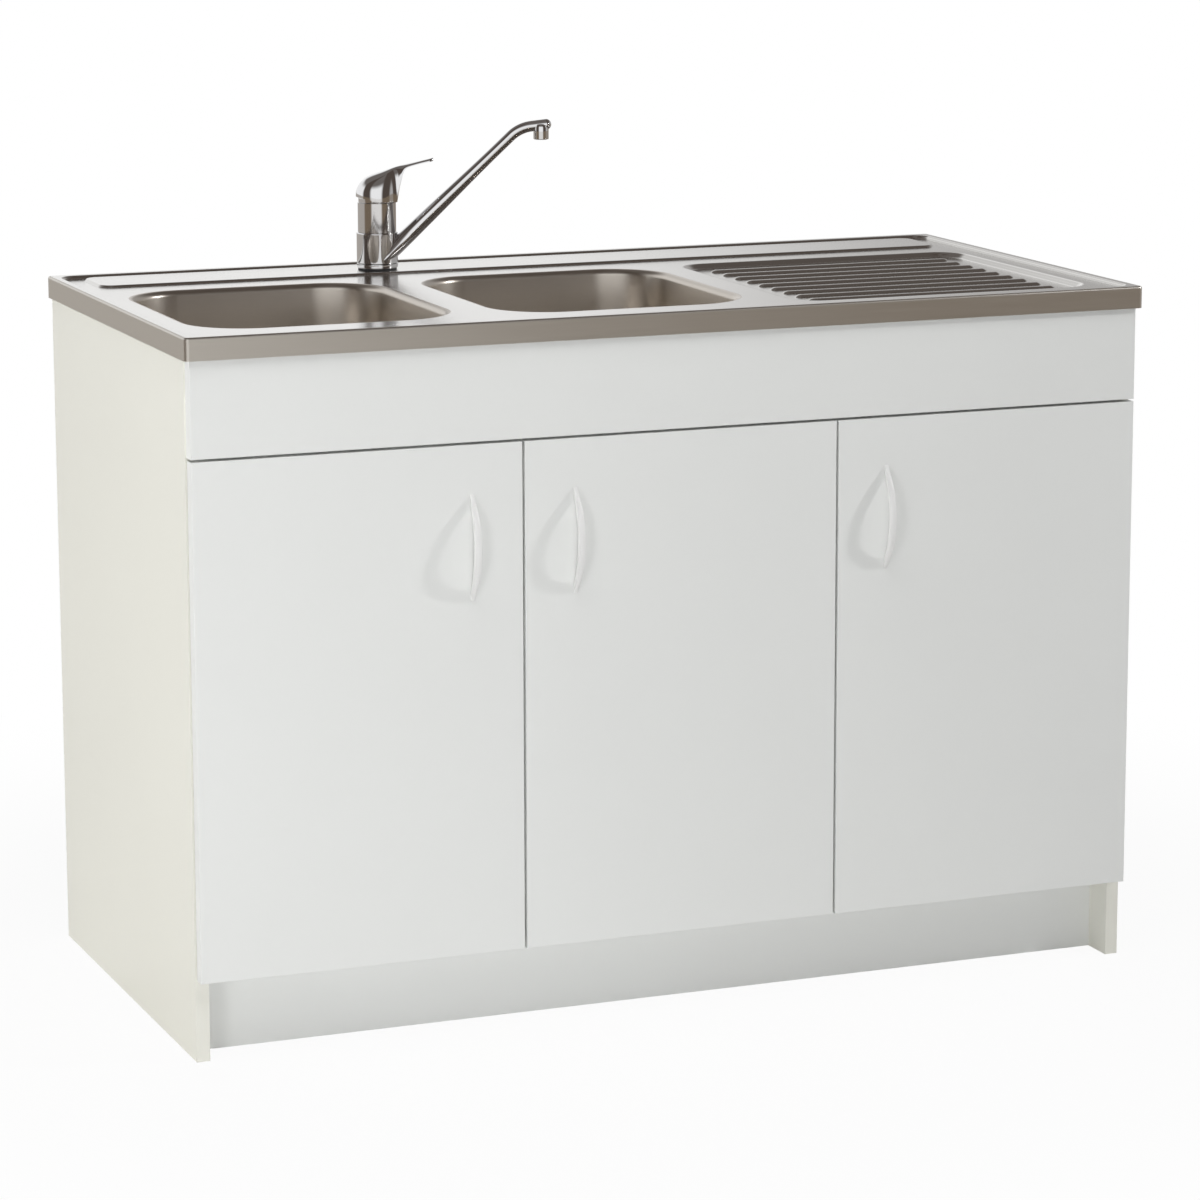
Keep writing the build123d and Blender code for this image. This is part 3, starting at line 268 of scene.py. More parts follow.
# the sink top is one pressed sheet, made from rings and flat plates
sinkTop = {
    "border": 9 * mm, "rimCorner": 6 * mm, "rimRound": 2.5 * mm, "recessCorner": 22 * mm,
    "deckDrop": 4 * mm, "recessRound": 3.5 * mm,
    "ledgeRise": 2.5 * mm, "ledgeDepth": 92 * mm, "ledgeSide": 38 * mm, "ledgeBack": 20 * mm,
    "ledgeCorner": 18 * mm, "ledgeRound": 2.2 * mm, "ledgeSpread": 1.4 * mm, "tapHole": 17.5 * mm,
    "bowlLip": 10 * mm, "bowlDepth": 150 * mm, "bowlCorner": 70 * mm, "bowlDraft": 4,
    "bowlFloorRound": 32 * mm, "bowlMouth": 8 * mm, "drain": 45 * mm,
    "drainerGap": 45 * mm, "drainerSide": 36 * mm, "drainerFront": 52 * mm, "drainerBack": 158 * mm,
    "drainerDrop": 6 * mm, "drainerCorner": 40 * mm, "drainerRound": 8 * mm,
    "ribs": 9, "ribPitch": 37 * mm, "ribMargin": 33 * mm, "ribWidth": 15 * mm, "ribHeight": 3 * mm,
    "ribCrown": 0.93, "ribFlank": (0.8, 1.3),
    "sheet": 1 * mm, "support": 0.4 * mm, "leastCorner": 0.2 * mm, "planGap": 1e-4 * mm, "soft": 50,
    "cornerSteps": 14, "roundSteps": 6, "mouthSteps": 8, "wallSteps": 4, "floorSteps": 10,
    "tapHoleSteps": 8, "drainSteps": 14, "ribSteps": 8,
}
sheetSkins = [deckSteel, shadedBowlSteel, rimSteel]


def roundRing(centre, half, corner, z, steps):  # rounded rectangle, anticlockwise
    corner = max(corner, sinkTop["leastCorner"])
    points = []
    for sx, sy, start in ((1, 1, 0), (-1, 1, 90), (-1, -1, 180), (1, -1, 270)):
        for k in range(steps + 1):
            turn = math.radians(start + 90 * k / steps)
            x = centre[0] + sx * (half[0] - corner) + corner * math.cos(turn)
            y = centre[1] + sy * (half[1] - corner) + corner * math.sin(turn)
            points.append((x, y, z))
    return points


class Sheet:  # one pressed sheet that grows ring by ring
    def __init__(self):
        self.verts, self.faces, self.skins = [], [], []

    def ring(self, points):
        first = len(self.verts)
        self.verts += points
        return list(range(first, len(self.verts)))

    def hole(self, centre, radius, z, steps):
        return self.ring(roundRing(centre, (radius, radius), radius, z, steps))

    def bridge(self, a, b, skin):
        for i in range(len(a)):
            j = (i + 1) % len(a)
            self.faces.append((a[i], a[j], b[j], b[i]))
            self.skins.append(skin)

    def press(self, centre, half, corner, profile, skin):  # a ring for each (inset, height)
        rings = []
        for inset, z in profile:
            shrunk = (half[0] - inset, half[1] - inset)
            rings.append(self.ring(roundRing(centre, shrunk, corner - inset, z, sinkTop["cornerSteps"])))
        for a, b in zip(rings, rings[1:]):
            self.bridge(a, b, skin)
        return rings[0], rings[-1]

    def plate(self, outer, holes, skin):  # flat fill between one ring and the rings inside it
        flat, loops, back = [], [], []
        for one in [outer] + holes:
            first = len(flat)
            flat += [Vector(self.verts[i][:2]) for i in one]
            back += one
            loops += [(first + k, first + (k + 1) % len(one)) for k in range(len(one))]
        filled = delaunay_2d_cdt(flat, loops, [], 1, sinkTop["planGap"])  # 1 keeps what lies inside
        points, _, triangles, origins = filled[:4]
        outlines = [[Vector(self.verts[i][:2]) for i in one] for one in holes]
        for face in triangles:
            middle = sum((points[i] for i in face), Vector((0, 0))) / len(face)
            if not any(inside(middle, line) for line in outlines):
                self.faces.append(tuple(back[origins[i][0]] for i in face))
                self.skins.append(skin)


def inside(point, line):
    odd = False
    for a, b in zip(line, line[1:] + line[:1]):
        if (a.y > point.y) != (b.y > point.y):
            if point.x < (b.x - a.x) * (point.y - a.y) / (b.y - a.y) + a.x:
                odd = not odd
    return odd


def arc(centre, radius, start, end, steps):  # (inset, height) points of a round
    turns = [math.radians(start + (end - start) * k / steps) for k in range(steps + 1)]
    return [(centre[0] + radius * math.cos(a), centre[1] + radius * math.sin(a)) for a in turns]


def stepDown(high, low, radius):  # a flat that rolls over an edge, slopes and rolls out flat again
    support, steps = sinkTop["support"], sinkTop["roundSteps"]
    lean = math.degrees(math.acos(1 - (high - low) / (2 * radius)))
    profile = [(0, high)] + arc((support, high - radius), radius, 90, 90 - lean, steps)
    foot = 2 * profile[-1][0] - support
    profile += arc((foot, low + radius), radius, 270 - lean, 270, steps)[1:]
    return profile + [(foot + support, low)]


def pressRim(sheet, low, high, deckZ):  # up the outside, over the edge, in and down to the deck
    s = sinkTop
    centre, half, topZ = middleOf(low, high), halfOf(low, high), high.z
    rim = [(0, low.z), (0, topZ - s["rimRound"] - s["support"])]
    rim += arc((s["rimRound"], topZ - s["rimRound"]), s["rimRound"], 180, 90, s["roundSteps"])
    rim.append((s["rimRound"] + s["support"], topZ))
    borderRing = sheet.press(centre, half, s["rimCorner"], rim, rimSteel)[1]
    recessHalf = (half[0] - s["border"], half[1] - s["border"])
    recess = stepDown(topZ, deckZ, s["recessRound"])
    recessRing, deckRing = sheet.press(centre, recessHalf, s["recessCorner"], recess, deckSteel)
    sheet.plate(borderRing, [recessRing], deckSteel)
    return deckRing


def pressLedge(sheet, low, high, deckZ):  # raised strip with the tap's hole
    s = sinkTop
    ledgeZ, spread = deckZ + s["ledgeRise"], s["ledgeSpread"]
    half = (halfOf(low, high)[0] - s["ledgeSide"], s["ledgeDepth"] / 2)
    centre = (middleOf(low, high)[0], high.y - s["ledgeBack"] - half[1])
    fall = stepDown(ledgeZ, deckZ, s["ledgeRound"])
    rise = [(inset, deckZ + ledgeZ - z) for inset, z in fall]
    footHalf = (half[0] + spread, half[1] + spread)
    footRing, topRing = sheet.press(centre, footHalf, s["ledgeCorner"] + spread, rise, deckSteel)
    tapHole = sheet.hole(middleOf(*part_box("tap_seal")), s["tapHole"], ledgeZ, s["tapHoleSteps"])
    sheet.plate(topRing, [tapHole], deckSteel)
    return footRing


def pressBowl(sheet, node, deckZ):  # from the flared mouth down to the drain hole
    s = sinkTop
    low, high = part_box(node)
    middle, half = middleOf(low, high), halfOf(low, high)
    mouth, draft, foot = s["bowlMouth"], s["bowlDraft"], s["bowlFloorRound"]
    lean = math.radians(draft)
    floorZ = deckZ - s["bowlDepth"]
    profile = [(0, deckZ), (s["support"], deckZ)]
    profile += arc((s["support"], deckZ - mouth), mouth, 90, draft, s["mouthSteps"])[1:]
    wallIn, wallZ = profile[-1]
    bendZ = floorZ + foot * (1 - math.sin(lean))
    for k in range(1, s["wallSteps"] + 1):
        z = wallZ + (bendZ - wallZ) * k / s["wallSteps"]
        profile.append((wallIn + (wallZ - z) * math.tan(lean), z))
    bendIn = profile[-1][0] + foot * math.cos(lean)
    profile += arc((bendIn, floorZ + foot), foot, 180 + draft, 270, s["floorSteps"])[1:]
    profile.append((bendIn + s["support"], floorZ))
    lip = mouth + s["support"]
    flare = lip - s["bowlLip"]
    mouthHalf = (half[0] + flare, half[1] + flare)
    # walls and floor of the bowl take the steel with painted shade
    mouthRing, floorRing = sheet.press(middle, mouthHalf, s["bowlCorner"] + lip, profile, shadedBowlSteel)
    drain = sheet.hole(middle, s["drain"], floorZ, s["drainSteps"])
    sheet.plate(floorRing, [drain], shadedBowlSteel)
    return mouthRing


def pressDrainer(sheet, low, high, deckZ):  # sunk pan with pressed ribs
    s = sinkTop
    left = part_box("sink_bowl_right")[1].x - s["bowlLip"] + s["drainerGap"]
    right = high.x - s["drainerSide"]
    front, back = low.y + s["drainerFront"], high.y - s["drainerBack"]
    centre, half = ((left + right) / 2, (front + back) / 2), ((right - left) / 2, (back - front) / 2)
    panZ = deckZ - s["drainerDrop"]
    pan = stepDown(deckZ, panZ, s["drainerRound"])
    edgeRing, floorRing = sheet.press(centre, half, s["drainerCorner"], pan, deckSteel)
    ribHalf = (half[0] - s["ribMargin"], s["ribWidth"] / 2)
    profile = [(0, panZ), (s["support"], panZ)]
    for k in range(1, s["ribSteps"] + 1):
        turn = math.pi / 2 * k / s["ribSteps"]
        share = s["ribCrown"] * (1 - math.cos(turn)) ** s["ribFlank"][0]
        inset = s["support"] + (ribHalf[1] - s["support"]) * share
        profile.append((inset, panZ + s["ribHeight"] * math.sin(turn) ** s["ribFlank"][1]))
    feet = []
    for k in range(s["ribs"]):
        y = centre[1] + (k - (s["ribs"] - 1) / 2) * s["ribPitch"]
        footRing, crestRing = sheet.press((centre[0], y), ribHalf, ribHalf[1], profile, deckSteel)
        sheet.plate(crestRing, [], deckSteel)
        feet.append(footRing)
    sheet.plate(floorRing, feet, deckSteel)
    return edgeRing


def makeSinkTop():
    s = sinkTop
    low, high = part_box("sink_deck")
    deckZ = high.z - s["deckDrop"]
    sheet = Sheet()
    deckRing = pressRim(sheet, low, high, deckZ)
    ledge = pressLedge(sheet, low, high, deckZ)
    bowls = [pressBowl(sheet, node, deckZ) for node in ("sink_bowl_left", "sink_bowl_right")]
    drainer = pressDrainer(sheet, low, high, deckZ)
    sheet.plate(deckRing, bowls + [ledge, drainer], deckSteel)
    made = meshObject("sinkTop", sheet.verts, sheet.faces, sheetSkins)
    made.data.polygons.foreach_set("material_index", [sheetSkins.index(skin) for skin in sheet.skins])
    closed(made, weld / 2)
    if max(made.data.polygons, key=lambda face: face.area).normal.z < 0:  # the deck looks up
        made.data.flip_normals()
    thick = made.modifiers.new("sheet", "SOLIDIFY")
    thick.thickness = s["sheet"]
    thick.offset = -1
    baked(made)
    smooth(made, s["soft"])
    standFor(made, "cabinet", ["sink_deck", "sink_bowl_left", "sink_bowl_right"])
    print("sink top made:", len(made.data.polygons), "faces")


makeSinkTop()

# cast pieces of the tap are made in millimetres on its axis, then set on the ledge
castWeld = 1e-4
tapTurn = -20  # degrees, the way the spout points at rest


def along(points, x):  # height of a smooth line through points
    xs = [p[0] for p in points]
    i = max(0, min(len(points) - 2, sum(x > v for v in xs) - 1))
    slopes = []
    for k in range(len(points)):
        a, b = max(k - 1, 0), min(k + 1, len(points) - 1)
        steps = [(points[j + 1][1] - points[j][1]) / (points[j + 1][0] - points[j][0]) for j in range(a, b)]
        same = min(steps) * max(steps) > 0
        slopes.append(2 * steps[0] * steps[-1] / (steps[0] + steps[-1]) if same else 0.0)
    (x0, y0), (x1, y1) = points[i], points[i + 1]
    gap = x1 - x0
    t = (x - x0) / gap
    return (
        y0 * (1 + 2 * t) * (1 - t) ** 2 + y1 * t * t * (3 - 2 * t)
        + gap * (slopes[i] * t * (1 - t) ** 2 - slopes[i + 1] * t * t * (1 - t))
    )


def bulged(turn, bulge):  # cosine and sine, pushed out towards a square
    return [math.copysign(abs(v) ** (2 / bulge), v) for v in (math.cos(turn), math.sin(turn))]


def skinned(name, loops, skin, gap):  # one closed form over a row of loops
    around = len(loops[0])
    faces = []
    for k in range(len(loops) - 1):
        for j in range(around):
            n = (j + 1) % around
            faces.append((k * around + j, k * around + n, (k + 1) * around + n, (k + 1) * around + j))
    last = (len(loops) - 1) * around
    faces += [tuple(range(around))[::-1], tuple(range(last, last + around))]
    return closed(meshObject(name, [point for loop in loops for point in loop], faces, [skin]), gap)


def lathe(name, outline, steps):  # an outline of (radius, height) turned round the axis
    turns = [math.tau * k / steps for k in range(steps)]
    verts, faces = [], []
    for r, z in outline:
        verts += [(r * math.cos(a), r * math.sin(a), z) for a in turns]
    for i in range(len(outline) - 1):
        for k in range(steps):
            n = (k + 1) % steps
            faces.append((i * steps + k, i * steps + n, (i + 1) * steps + n, (i + 1) * steps + k))
    return closed(meshObject(name, verts, faces, [chromeSkin]), castWeld)


def worked(made, tools):  # joins or cuts with other forms, which are then thrown away
    for operation, tool in tools:
        step = made.modifiers.new(operation, "BOOLEAN")
        step.operation = operation
        step.object = tool
        step.solver = "EXACT"
    baked(made)
    for operation, tool in tools:
        bpy.data.objects.remove(tool)


def setOnTap(made, rise=0):
    low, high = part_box("tap_seal")
    foot = Vector((*middleOf(low, high), low.z))
    turn = Matrix.Rotation(math.radians(tapTurn), 3, "Z")
    for vert in made.data.vertices:
        vert.co = foot + turn @ ((vert.co + Vector((0, 0, rise))) * mm)


# lever: rounded sections along its length, heights from the pivot, hollowed over the cartridge
leverCast = {
    "skirt": 26.0, "tip": 65.0, "tipHalf": 5.6, "tipLeast": 0.2, "endGap": 0.05, "blend": 24,
    "stations": 90, "crowding": 0.7, "around": 40, "bulge": 2.5, "pivot": 83.5, "soft": 45,
    "top": [(-26, 8), (-25.4, 13.5), (-23.6, 19), (-19.5, 25.3), (-12.3, 31.5), (8, 38.8), (27, 45),
            (47, 49.6), (70.6, 55)],
    "under": [(-26, 7.5), (25.6, 1), (28.6, 17), (31.3, 28), (34.5, 39), (38, 43), (48, 46.3), (70.6, 51.2)],
    "plan": [(-26, 0), (0, 22), (28, 13), (45, 8.6), (65, 5.6), (70.6, 5.6)],
    "hollow": [(0, -1), (24.8, -1), (24.8, 11), (15, 27), (8, 27), (8, 13.5), (0, 13.5)], "hollowSteps": 72,
    "screwHole": [(0, 5), (2.5, 5), (2.5, 45), (0, 45)], "screwRise": 20.0, "screwSteps": 24,
}


def leverHalf(x):  # half width at a place along the lever
    c = leverCast
    half = max(c["skirt"] ** 2 - x * x, 0) ** 0.5
    if x > 0:  # the wider of skirt and arm, with a soft change
        half = (half ** c["blend"] + max(along(c["plan"], x), 0) ** c["blend"]) ** (1 / c["blend"])
    if x > c["tip"]:
        half = max(c["tipHalf"] ** 2 - (x - c["tip"]) ** 2, c["tipLeast"] ** 2) ** 0.5
    return half


def makeLever():
    c = leverCast
    first, last = -c["skirt"] + c["endGap"], c["tip"] + c["tipHalf"] - c["endGap"]
    loops = []
    for k in range(c["stations"] + 1):
        t = k / c["stations"]
        share = t - math.sin(math.tau * t) / math.tau * c["crowding"]  # closer at the ends
        x = first + (last - first) * share
        half, under, top = leverHalf(x), along(c["under"], x), along(c["top"], x)
        loops.append([])
        for j in range(c["around"]):
            y, z = bulged(math.pi * j / (c["around"] - 1), c["bulge"])
            loops[-1].append((x, half * y, under + (top - under) * z))
    made = skinned("leverCast", loops, chromeSkin, castWeld)
    hollow = lathe("hollow", c["hollow"], c["hollowSteps"])
    hole = lathe("hole", c["screwHole"], c["screwSteps"])
    for vert in hole.data.vertices:  # laid along the lever
        vert.co = (vert.co.z, vert.co.y, c["screwRise"] - vert.co.x)
    worked(made, [("DIFFERENCE", hollow), ("DIFFERENCE", hole)])
    setOnTap(made, c["pivot"])
    smooth(made, c["soft"])
    standFor(made, "lever", ["lever"])
    print("lever made:", len(made.data.polygons), "faces")


makeLever()

# spout: a ring round the body and a neck that thins into a tube
spoutCast = {
    "path": ((14, 18.5), (178, 175.5), (211, 179.5)), "bend": 45, "back": 7, "steps": 120, "around": 48,
    "endSteps": 8, "endGap": 0.1, "turnSteps": 96, "outletReach": 205, "soft": 40,
    "across": [(-7, 24.4), (0, 23.2), (10, 19.8), (25, 15), (40, 12), (65, 9.9), (190, 6.75), (300, 6.75)],
    "tall": [(-7, 5), (0, 9), (12, 10), (65, 9.2), (190, 6.75), (300, 6.75)],
    "ring": [(19.06, 7.8), (24.6, 7.8), (25.3, 8.1), (25.6, 8.8), (25.6, 9.1), (25.6, 14), (25.6, 20),
             (25.6, 27), (25.6, 34), (25.6, 40), (25.6, 45), (25.6, 45.3), (25.3, 46), (24.6, 46.3),
             (19.06, 46.3), (19.06, 7.8)],
    "core": [(0, 5), (19.06, 5), (19.06, 46.3), (24.3, 46.3), (24.3, 85), (0, 85)],
    "outlet": [(0, 170), (9.5, 170), (9.5, 176), (9, 178.2), (7.5, 180), (5, 181), (0, 181)],
    "seat": [(0, 168), (7.02, 168), (7.02, 173), (0, 173)],
}


def spoutPath():  # steps along the spout: length so far, place, slope and share of the full section
    c = spoutCast
    first, corner, last = [Vector(point) for point in c["path"]]
    out, on = (corner - first).normalized(), (last - corner).normalized()
    start, end = math.atan2(out.y, out.x), math.atan2(on.y, on.x)
    cut = c["bend"] * math.tan((start - end) / 2)
    straight, arcLength = (corner - first).length - cut, c["bend"] * (start - end)
    whole = straight + arcLength + (last - corner).length - cut
    for k in range(c["steps"] + 1):
        s = -c["back"] + (whole + c["back"]) * k / c["steps"]
        if s < straight:
            yield s, first + out * s, start, 1
        elif s < straight + arcLength:
            slope = start - (s - straight) / c["bend"]
            middle = first + out * straight + Vector((out.y, -out.x)) * c["bend"]
            yield s, middle + Vector((-math.sin(slope), math.cos(slope))) * c["bend"], slope, 1
        else:
            yield s, last - on * (whole - s), end, 1
    reach = on * along(c["tall"], whole)
    for k in range(1, c["endSteps"] + 1):  # round end
        turn = math.pi / 2 * k / (c["endSteps"] + c["endGap"])
        yield whole + k / c["endSteps"], last + reach * math.sin(turn), end, math.cos(turn)


def makeSpout():
    c = spoutCast
    loops = []
    for s, place, slope, share in spoutPath():
        across, tall = along(c["across"], s) * share, along(c["tall"], s) * share
        loops.append([])
        for j in range(c["around"]):
            turn = math.tau * j / c["around"]
            up = tall * math.sin(turn)
            x, z = place.x - up * math.sin(slope), place.y + up * math.cos(slope)
            loops[-1].append((x, across * math.cos(turn), z))
    made = skinned("spoutCast", loops, chromeSkin, castWeld)
    ring, core, outlet, seat = [lathe(k, c[k], c["turnSteps"]) for k in ("ring", "core", "outlet", "seat")]
    for tool in (outlet, seat):
        for vert in tool.data.vertices:
            vert.co.x += c["outletReach"]
    worked(made, [("UNION", ring), ("UNION", outlet), ("DIFFERENCE", core), ("DIFFERENCE", seat)])
    setOnTap(made)
    smooth(made, c["soft"])
    standFor(made, "spout", ["spout"])
    print("spout made:", len(made.data.polygons), "faces")


makeSpout()

# bow handles: flat sections stacked up the bow, narrow at the feet and broad in the middle
bowHandle = {
    "thick": 6.5 * mm, "foot": 13 * mm, "endHalf": 2.3 * mm, "midHalf": 5.0 * mm, "taper": 0.8,
    "levels": 56, "endGap": 0.15, "around": 28, "bulge": 2.5,
    "clear": 0.02 * mm, "leastThick": 0.1 * mm, "soft": 50,
}


def bowRise(chord, reach, z):  # height of an arc over its chord, zero past the chord's ends
    radius = (chord ** 2 + reach ** 2) / (2 * reach)
    return max((radius ** 2 - z ** 2) ** 0.5 - (radius - reach), 0) if abs(z) < chord else 0


def makeHandle(side):
    h = bowHandle
    low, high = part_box("handle_" + side)
    half, reach = (high.z - low.z) / 2, high.y - low.y
    middle = Vector(((low.x + high.x) / 2, high.y, (low.z + high.z) / 2))
    loops = []
    for k in range(h["levels"] + 1):
        z = -half * math.cos(math.pi * (k + h["endGap"]) / (h["levels"] + 2 * h["endGap"]))
        outer = bowRise(half, reach, z)
        inner = max(bowRise(half - h["foot"], reach - h["thick"], z), h["clear"])
        width = h["endHalf"] + (h["midHalf"] - h["endHalf"]) * (1 - (z / half) ** 2) ** h["taper"]
        loops.append([])
        for j in range(h["around"]):
            x, y = bulged(math.tau * j / h["around"], h["bulge"])
            out = (outer + inner) / 2 + y * max(outer - inner, h["leastThick"]) / 2
            loops[-1].append(middle + Vector((x * width, -out, z)))
    made = skinned(side + "Bow", loops, handleSkin, weld / 2)
    smooth(made, h["soft"])
    standFor(made, "door_" + side, ["handle_" + side])


for side in doorSides:
    makeHandle(side)
print("handles made")

# screws on the hinge plates and the cups' wings, the dome, arm and pit as shares of radius and height
hingeScrews = {
    "radius": 3.6 * mm, "height": 1.6 * mm, "sides": 24, "dome": ((1, 0), (1, 0.35), (0.9, 0.7), (0.62, 1)),
    "slot": 0.9 * mm, "arm": 0.55, "pitTaper": 0.8, "pitFloor": 0.3, "size": 1.0, "soft": 40,
    "plateRise": 15 * mm, "wingRise": 24 * mm,
}


def facesBetween(work, a, b):
    for i in range(len(a)):
        j = (i + 1) % len(a)
        work.faces.new((a[i], a[j], b[j], b[i]))


def screwHead():  # domed head with a cross cut into it
    h = hingeScrews
    radius, height = h["radius"], h["height"]
    turns = [math.tau * k / h["sides"] for k in range(h["sides"])]
    work = bmesh.new()
    rings = []
    for wide, tall in h["dome"]:
        r, z = radius * wide, height * tall
        rings.append([work.verts.new((r * math.cos(a), r * math.sin(a), z)) for a in turns])
    for a, b in zip(rings, rings[1:]):
        facesBetween(work, a, b)
    half, arm = h["slot"] / 2, radius * h["arm"]
    cross, quarter = [], [(half, half), (half, arm), (-half, arm)]
    for k in range(4):
        cross += quarter
        quarter = [(-y, x) for x, y in quarter]
    brim = [work.verts.new((x, y, height)) for x, y in cross]
    taper, pitZ = h["pitTaper"], height * h["pitFloor"]
    pit = [work.verts.new((x * taper, y * taper, pitZ)) for x, y in cross]
    edges = []
    for loop in (rings[-1], brim):
        for a, b in zip(loop, loop[1:] + loop[:1]):
            edges.append(work.edges.get((a, b)) or work.edges.new((a, b)))
    bmesh.ops.triangle_fill(work, use_beauty=True, edges=edges)
    facesBetween(work, brim, pit)
    work.faces.new(pit)
    work.faces.new(rings[0][::-1])
    bmesh.ops.recalc_face_normals(work, faces=work.faces)
    mesh = bpy.data.meshes.new("screwHead")
    work.to_mesh(mesh)
    work.free()
    return mesh


def screwTree():  # a head on every point, turned the way the point faces
    tree = bpy.data.node_groups.new("screwRow", "GeometryNodeTree")
    inputs = {"Geometry": "Geometry", "Head": "Object", "Size": "Float", "Finish": "Material"}
    for name, kind in inputs.items():
        tree.interface.new_socket(name, in_out="INPUT", socket_type="NodeSocket" + kind)
    tree.interface.new_socket("Geometry", in_out="OUTPUT", socket_type="NodeSocketGeometry")
    entry = tree.nodes.new("NodeGroupInput")
    leave = tree.nodes.new("NodeGroupOutput")
    points = tree.nodes.new("GeometryNodeMeshToPoints")
    head = tree.nodes.new("GeometryNodeObjectInfo")
    facing = tree.nodes.new("GeometryNodeInputNamedAttribute")
    facing.data_type = "FLOAT_VECTOR"
    facing.inputs["Name"].default_value = "facing"
    aim = tree.nodes.new("FunctionNodeAlignRotationToVector")
    aim.axis = "Z"
    place = tree.nodes.new("GeometryNodeInstanceOnPoints")
    plain = tree.nodes.new("GeometryNodeRealizeInstances")
    paint = tree.nodes.new("GeometryNodeSetMaterial")
    link = tree.links.new
    link(entry.outputs["Geometry"], points.inputs["Mesh"])
    link(points.outputs["Points"], place.inputs["Points"])
    link(entry.outputs["Head"], head.inputs["Object"])
    link(head.outputs["Geometry"], place.inputs["Instance"])
    link(facing.outputs["Attribute"], aim.inputs["Vector"])
    link(aim.outputs["Rotation"], place.inputs["Rotation"])
    link(entry.outputs["Size"], place.inputs["Scale"])
    link(place.outputs["Instances"], plain.inputs["Geometry"])
    link(plain.outputs["Geometry"], paint.inputs["Geometry"])
    link(entry.outputs["Finish"], paint.inputs["Material"])
    link(paint.outputs["Geometry"], leave.inputs["Geometry"])
    return tree


def socketName(tree, name):  # the identifier of a named input
    inputs = [item for item in tree.interface.items_tree if item.in_out == "INPUT"]
    return next(item.identifier for item in inputs if item.name == name)


def setScrews(name, body, places, tree, head):  # places: (point, facing)
    made = meshObject(name, [point for point, way in places], [], [zincSkin])
    facing = made.data.attributes.new("facing", "FLOAT_VECTOR", "POINT")
    for i, (point, way) in enumerate(places):
        facing.data[i].vector = way
    row = made.modifiers.new("row", "NODES")
    row.node_group = tree
    row[socketName(tree, "Head")] = head
    row[socketName(tree, "Size")] = hingeScrews["size"]
    row[socketName(tree, "Finish")] = zincSkin
    baked(made)
    smooth(made, hingeScrews["soft"])
    standFor(made, body, [])


def islands(node):  # the boxes of a node's separate solids
    work = bmesh.new()
    work.from_mesh(nodes[node].data)
    bmesh.ops.remove_doubles(work, verts=work.verts, dist=weld)
    left = set(work.verts)
    boxes = []
    while left:
        heap = [left.pop()]
        low, high = heap[0].co.copy(), heap[0].co.copy()
        while heap:
            vert = heap.pop()
            for k in range(3):
                low[k] = min(low[k], vert.co[k])
                high[k] = max(high[k], vert.co[k])
            for edge in vert.link_edges:
                other = edge.other_vert(vert)
                if other in left:
                    left.discard(other)
                    heap.append(other)
        boxes.append((low, high))
    work.free()
    return sorted(boxes, key=lambda pair: (round(pair[0].x, 4), round(pair[0].z, 4)))


def makeScrews():
    h = hingeScrews
    tree = screwTree()
    head = bpy.data.objects.new("headSource", screwHead())
    leftDoorX = middleOf(*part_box("door_left"))[0]
    plates = []
    for low, high in islands("hinge_plates"):
        x, y = middleOf(low, high)
        onLeftPanel = x < leftDoorX
        face, way = (high.x, 1) if onLeftPanel else (low.x, -1)
        for k in (-1, 1):
            plates.append(((face, y, (low.z + high.z) / 2 + k * h["plateRise"]), (way, 0, 0)))
    setScrews("plateScrews", "cabinet", plates, tree, head)
    for side in doorSides:
        wings = []
        for low, high in islands("hinge_cups_" + side):
            x = middleOf(low, high)[0]
            for k in (-1, 1):
                wings.append(((x, high.y, (low.z + high.z) / 2 + k * h["wingRise"]), (0, 1, 0)))
        setScrews(side + "CupScrews", "door_" + side, wings, tree, head)
    bpy.data.objects.remove(head)
    print("hinge screws set")


makeScrews()

# everything else keeps its CAD form, with welded corners, soft shading and some edges eased
dressing = {
    "soft": 38, "easeSegments": 2,
    "boardEase": 0.5 * mm, "crispBoards": ("door", "fascia"), "creamBoards": "side_panel",
    "chromeEase": 0.6 * mm, "easedChrome": ("tap_base", "tap_body", "cartridge_cap"),
}


def mergedCopy(node, skin):
    made = bpy.data.objects.new(node + "Skin", nodes[node].data.copy())
    bpy.context.scene.collection.objects.link(made)
    work = bmesh.new()
    work.from_mesh(made.data)
    bmesh.ops.remove_doubles(work, verts=work.verts, dist=weld)
    bmesh.ops.dissolve_degenerate(work, edges=work.edges, dist=weld / 2)
    work.to_mesh(made.data)
    work.free()
    made.data.materials.clear()
    made.data.materials.append(skin)
    return made


def dress(node, skin, edge):
    d = dressing
    made = mergedCopy(node, skin)
    smooth(made, d["soft"])
    if edge:
        ease = made.modifiers.new("ease", "BEVEL")
        ease.width = edge
        ease.segments = d["easeSegments"]
        ease.limit_method = "ANGLE"
        ease.angle_limit = math.radians(d["soft"])
        baked(made)
        smooth(made, d["soft"])
        level = made.modifiers.new("level", "WEIGHTED_NORMAL")  # broad faces stay flat beside eased edges
        level.mode = "FACE_AREA_WITH_ANGLE"
        level.keep_sharp = True
        baked(made)
    standFor(made, bodyOf[node], [node])


def dressRest():
    d = dressing
    for node in nodes:
        if nodes[node].hide_render:  # a made piece stands for it
            continue
        slotName = slotOf[node]
        skin, edge = finishes[slotName], 0
        if slotName == "white_board":
            skin = creamFace if node.startswith(d["creamBoards"]) else whiteFace
            edge = 0 if node.startswith(d["crispBoards"]) else d["boardEase"]
        elif slotName == "chrome" and node in d["easedChrome"]:
            edge = d["chromeEase"]
        dress(node, skin, edge)
    print("other pieces dressed")


dressRest()

# camera solved from the photograph, in its 1200 pixel frame
cameraView = {
    "place": (-1.9108, -4.8462, 1.4985), "yaw": 0.3883, "pitch": -0.1879,
    "focalPixels": 4306.6, "centre": (647.4, 549.8), "frame": 1200, "sensor": 36, "farthest": 100,
}


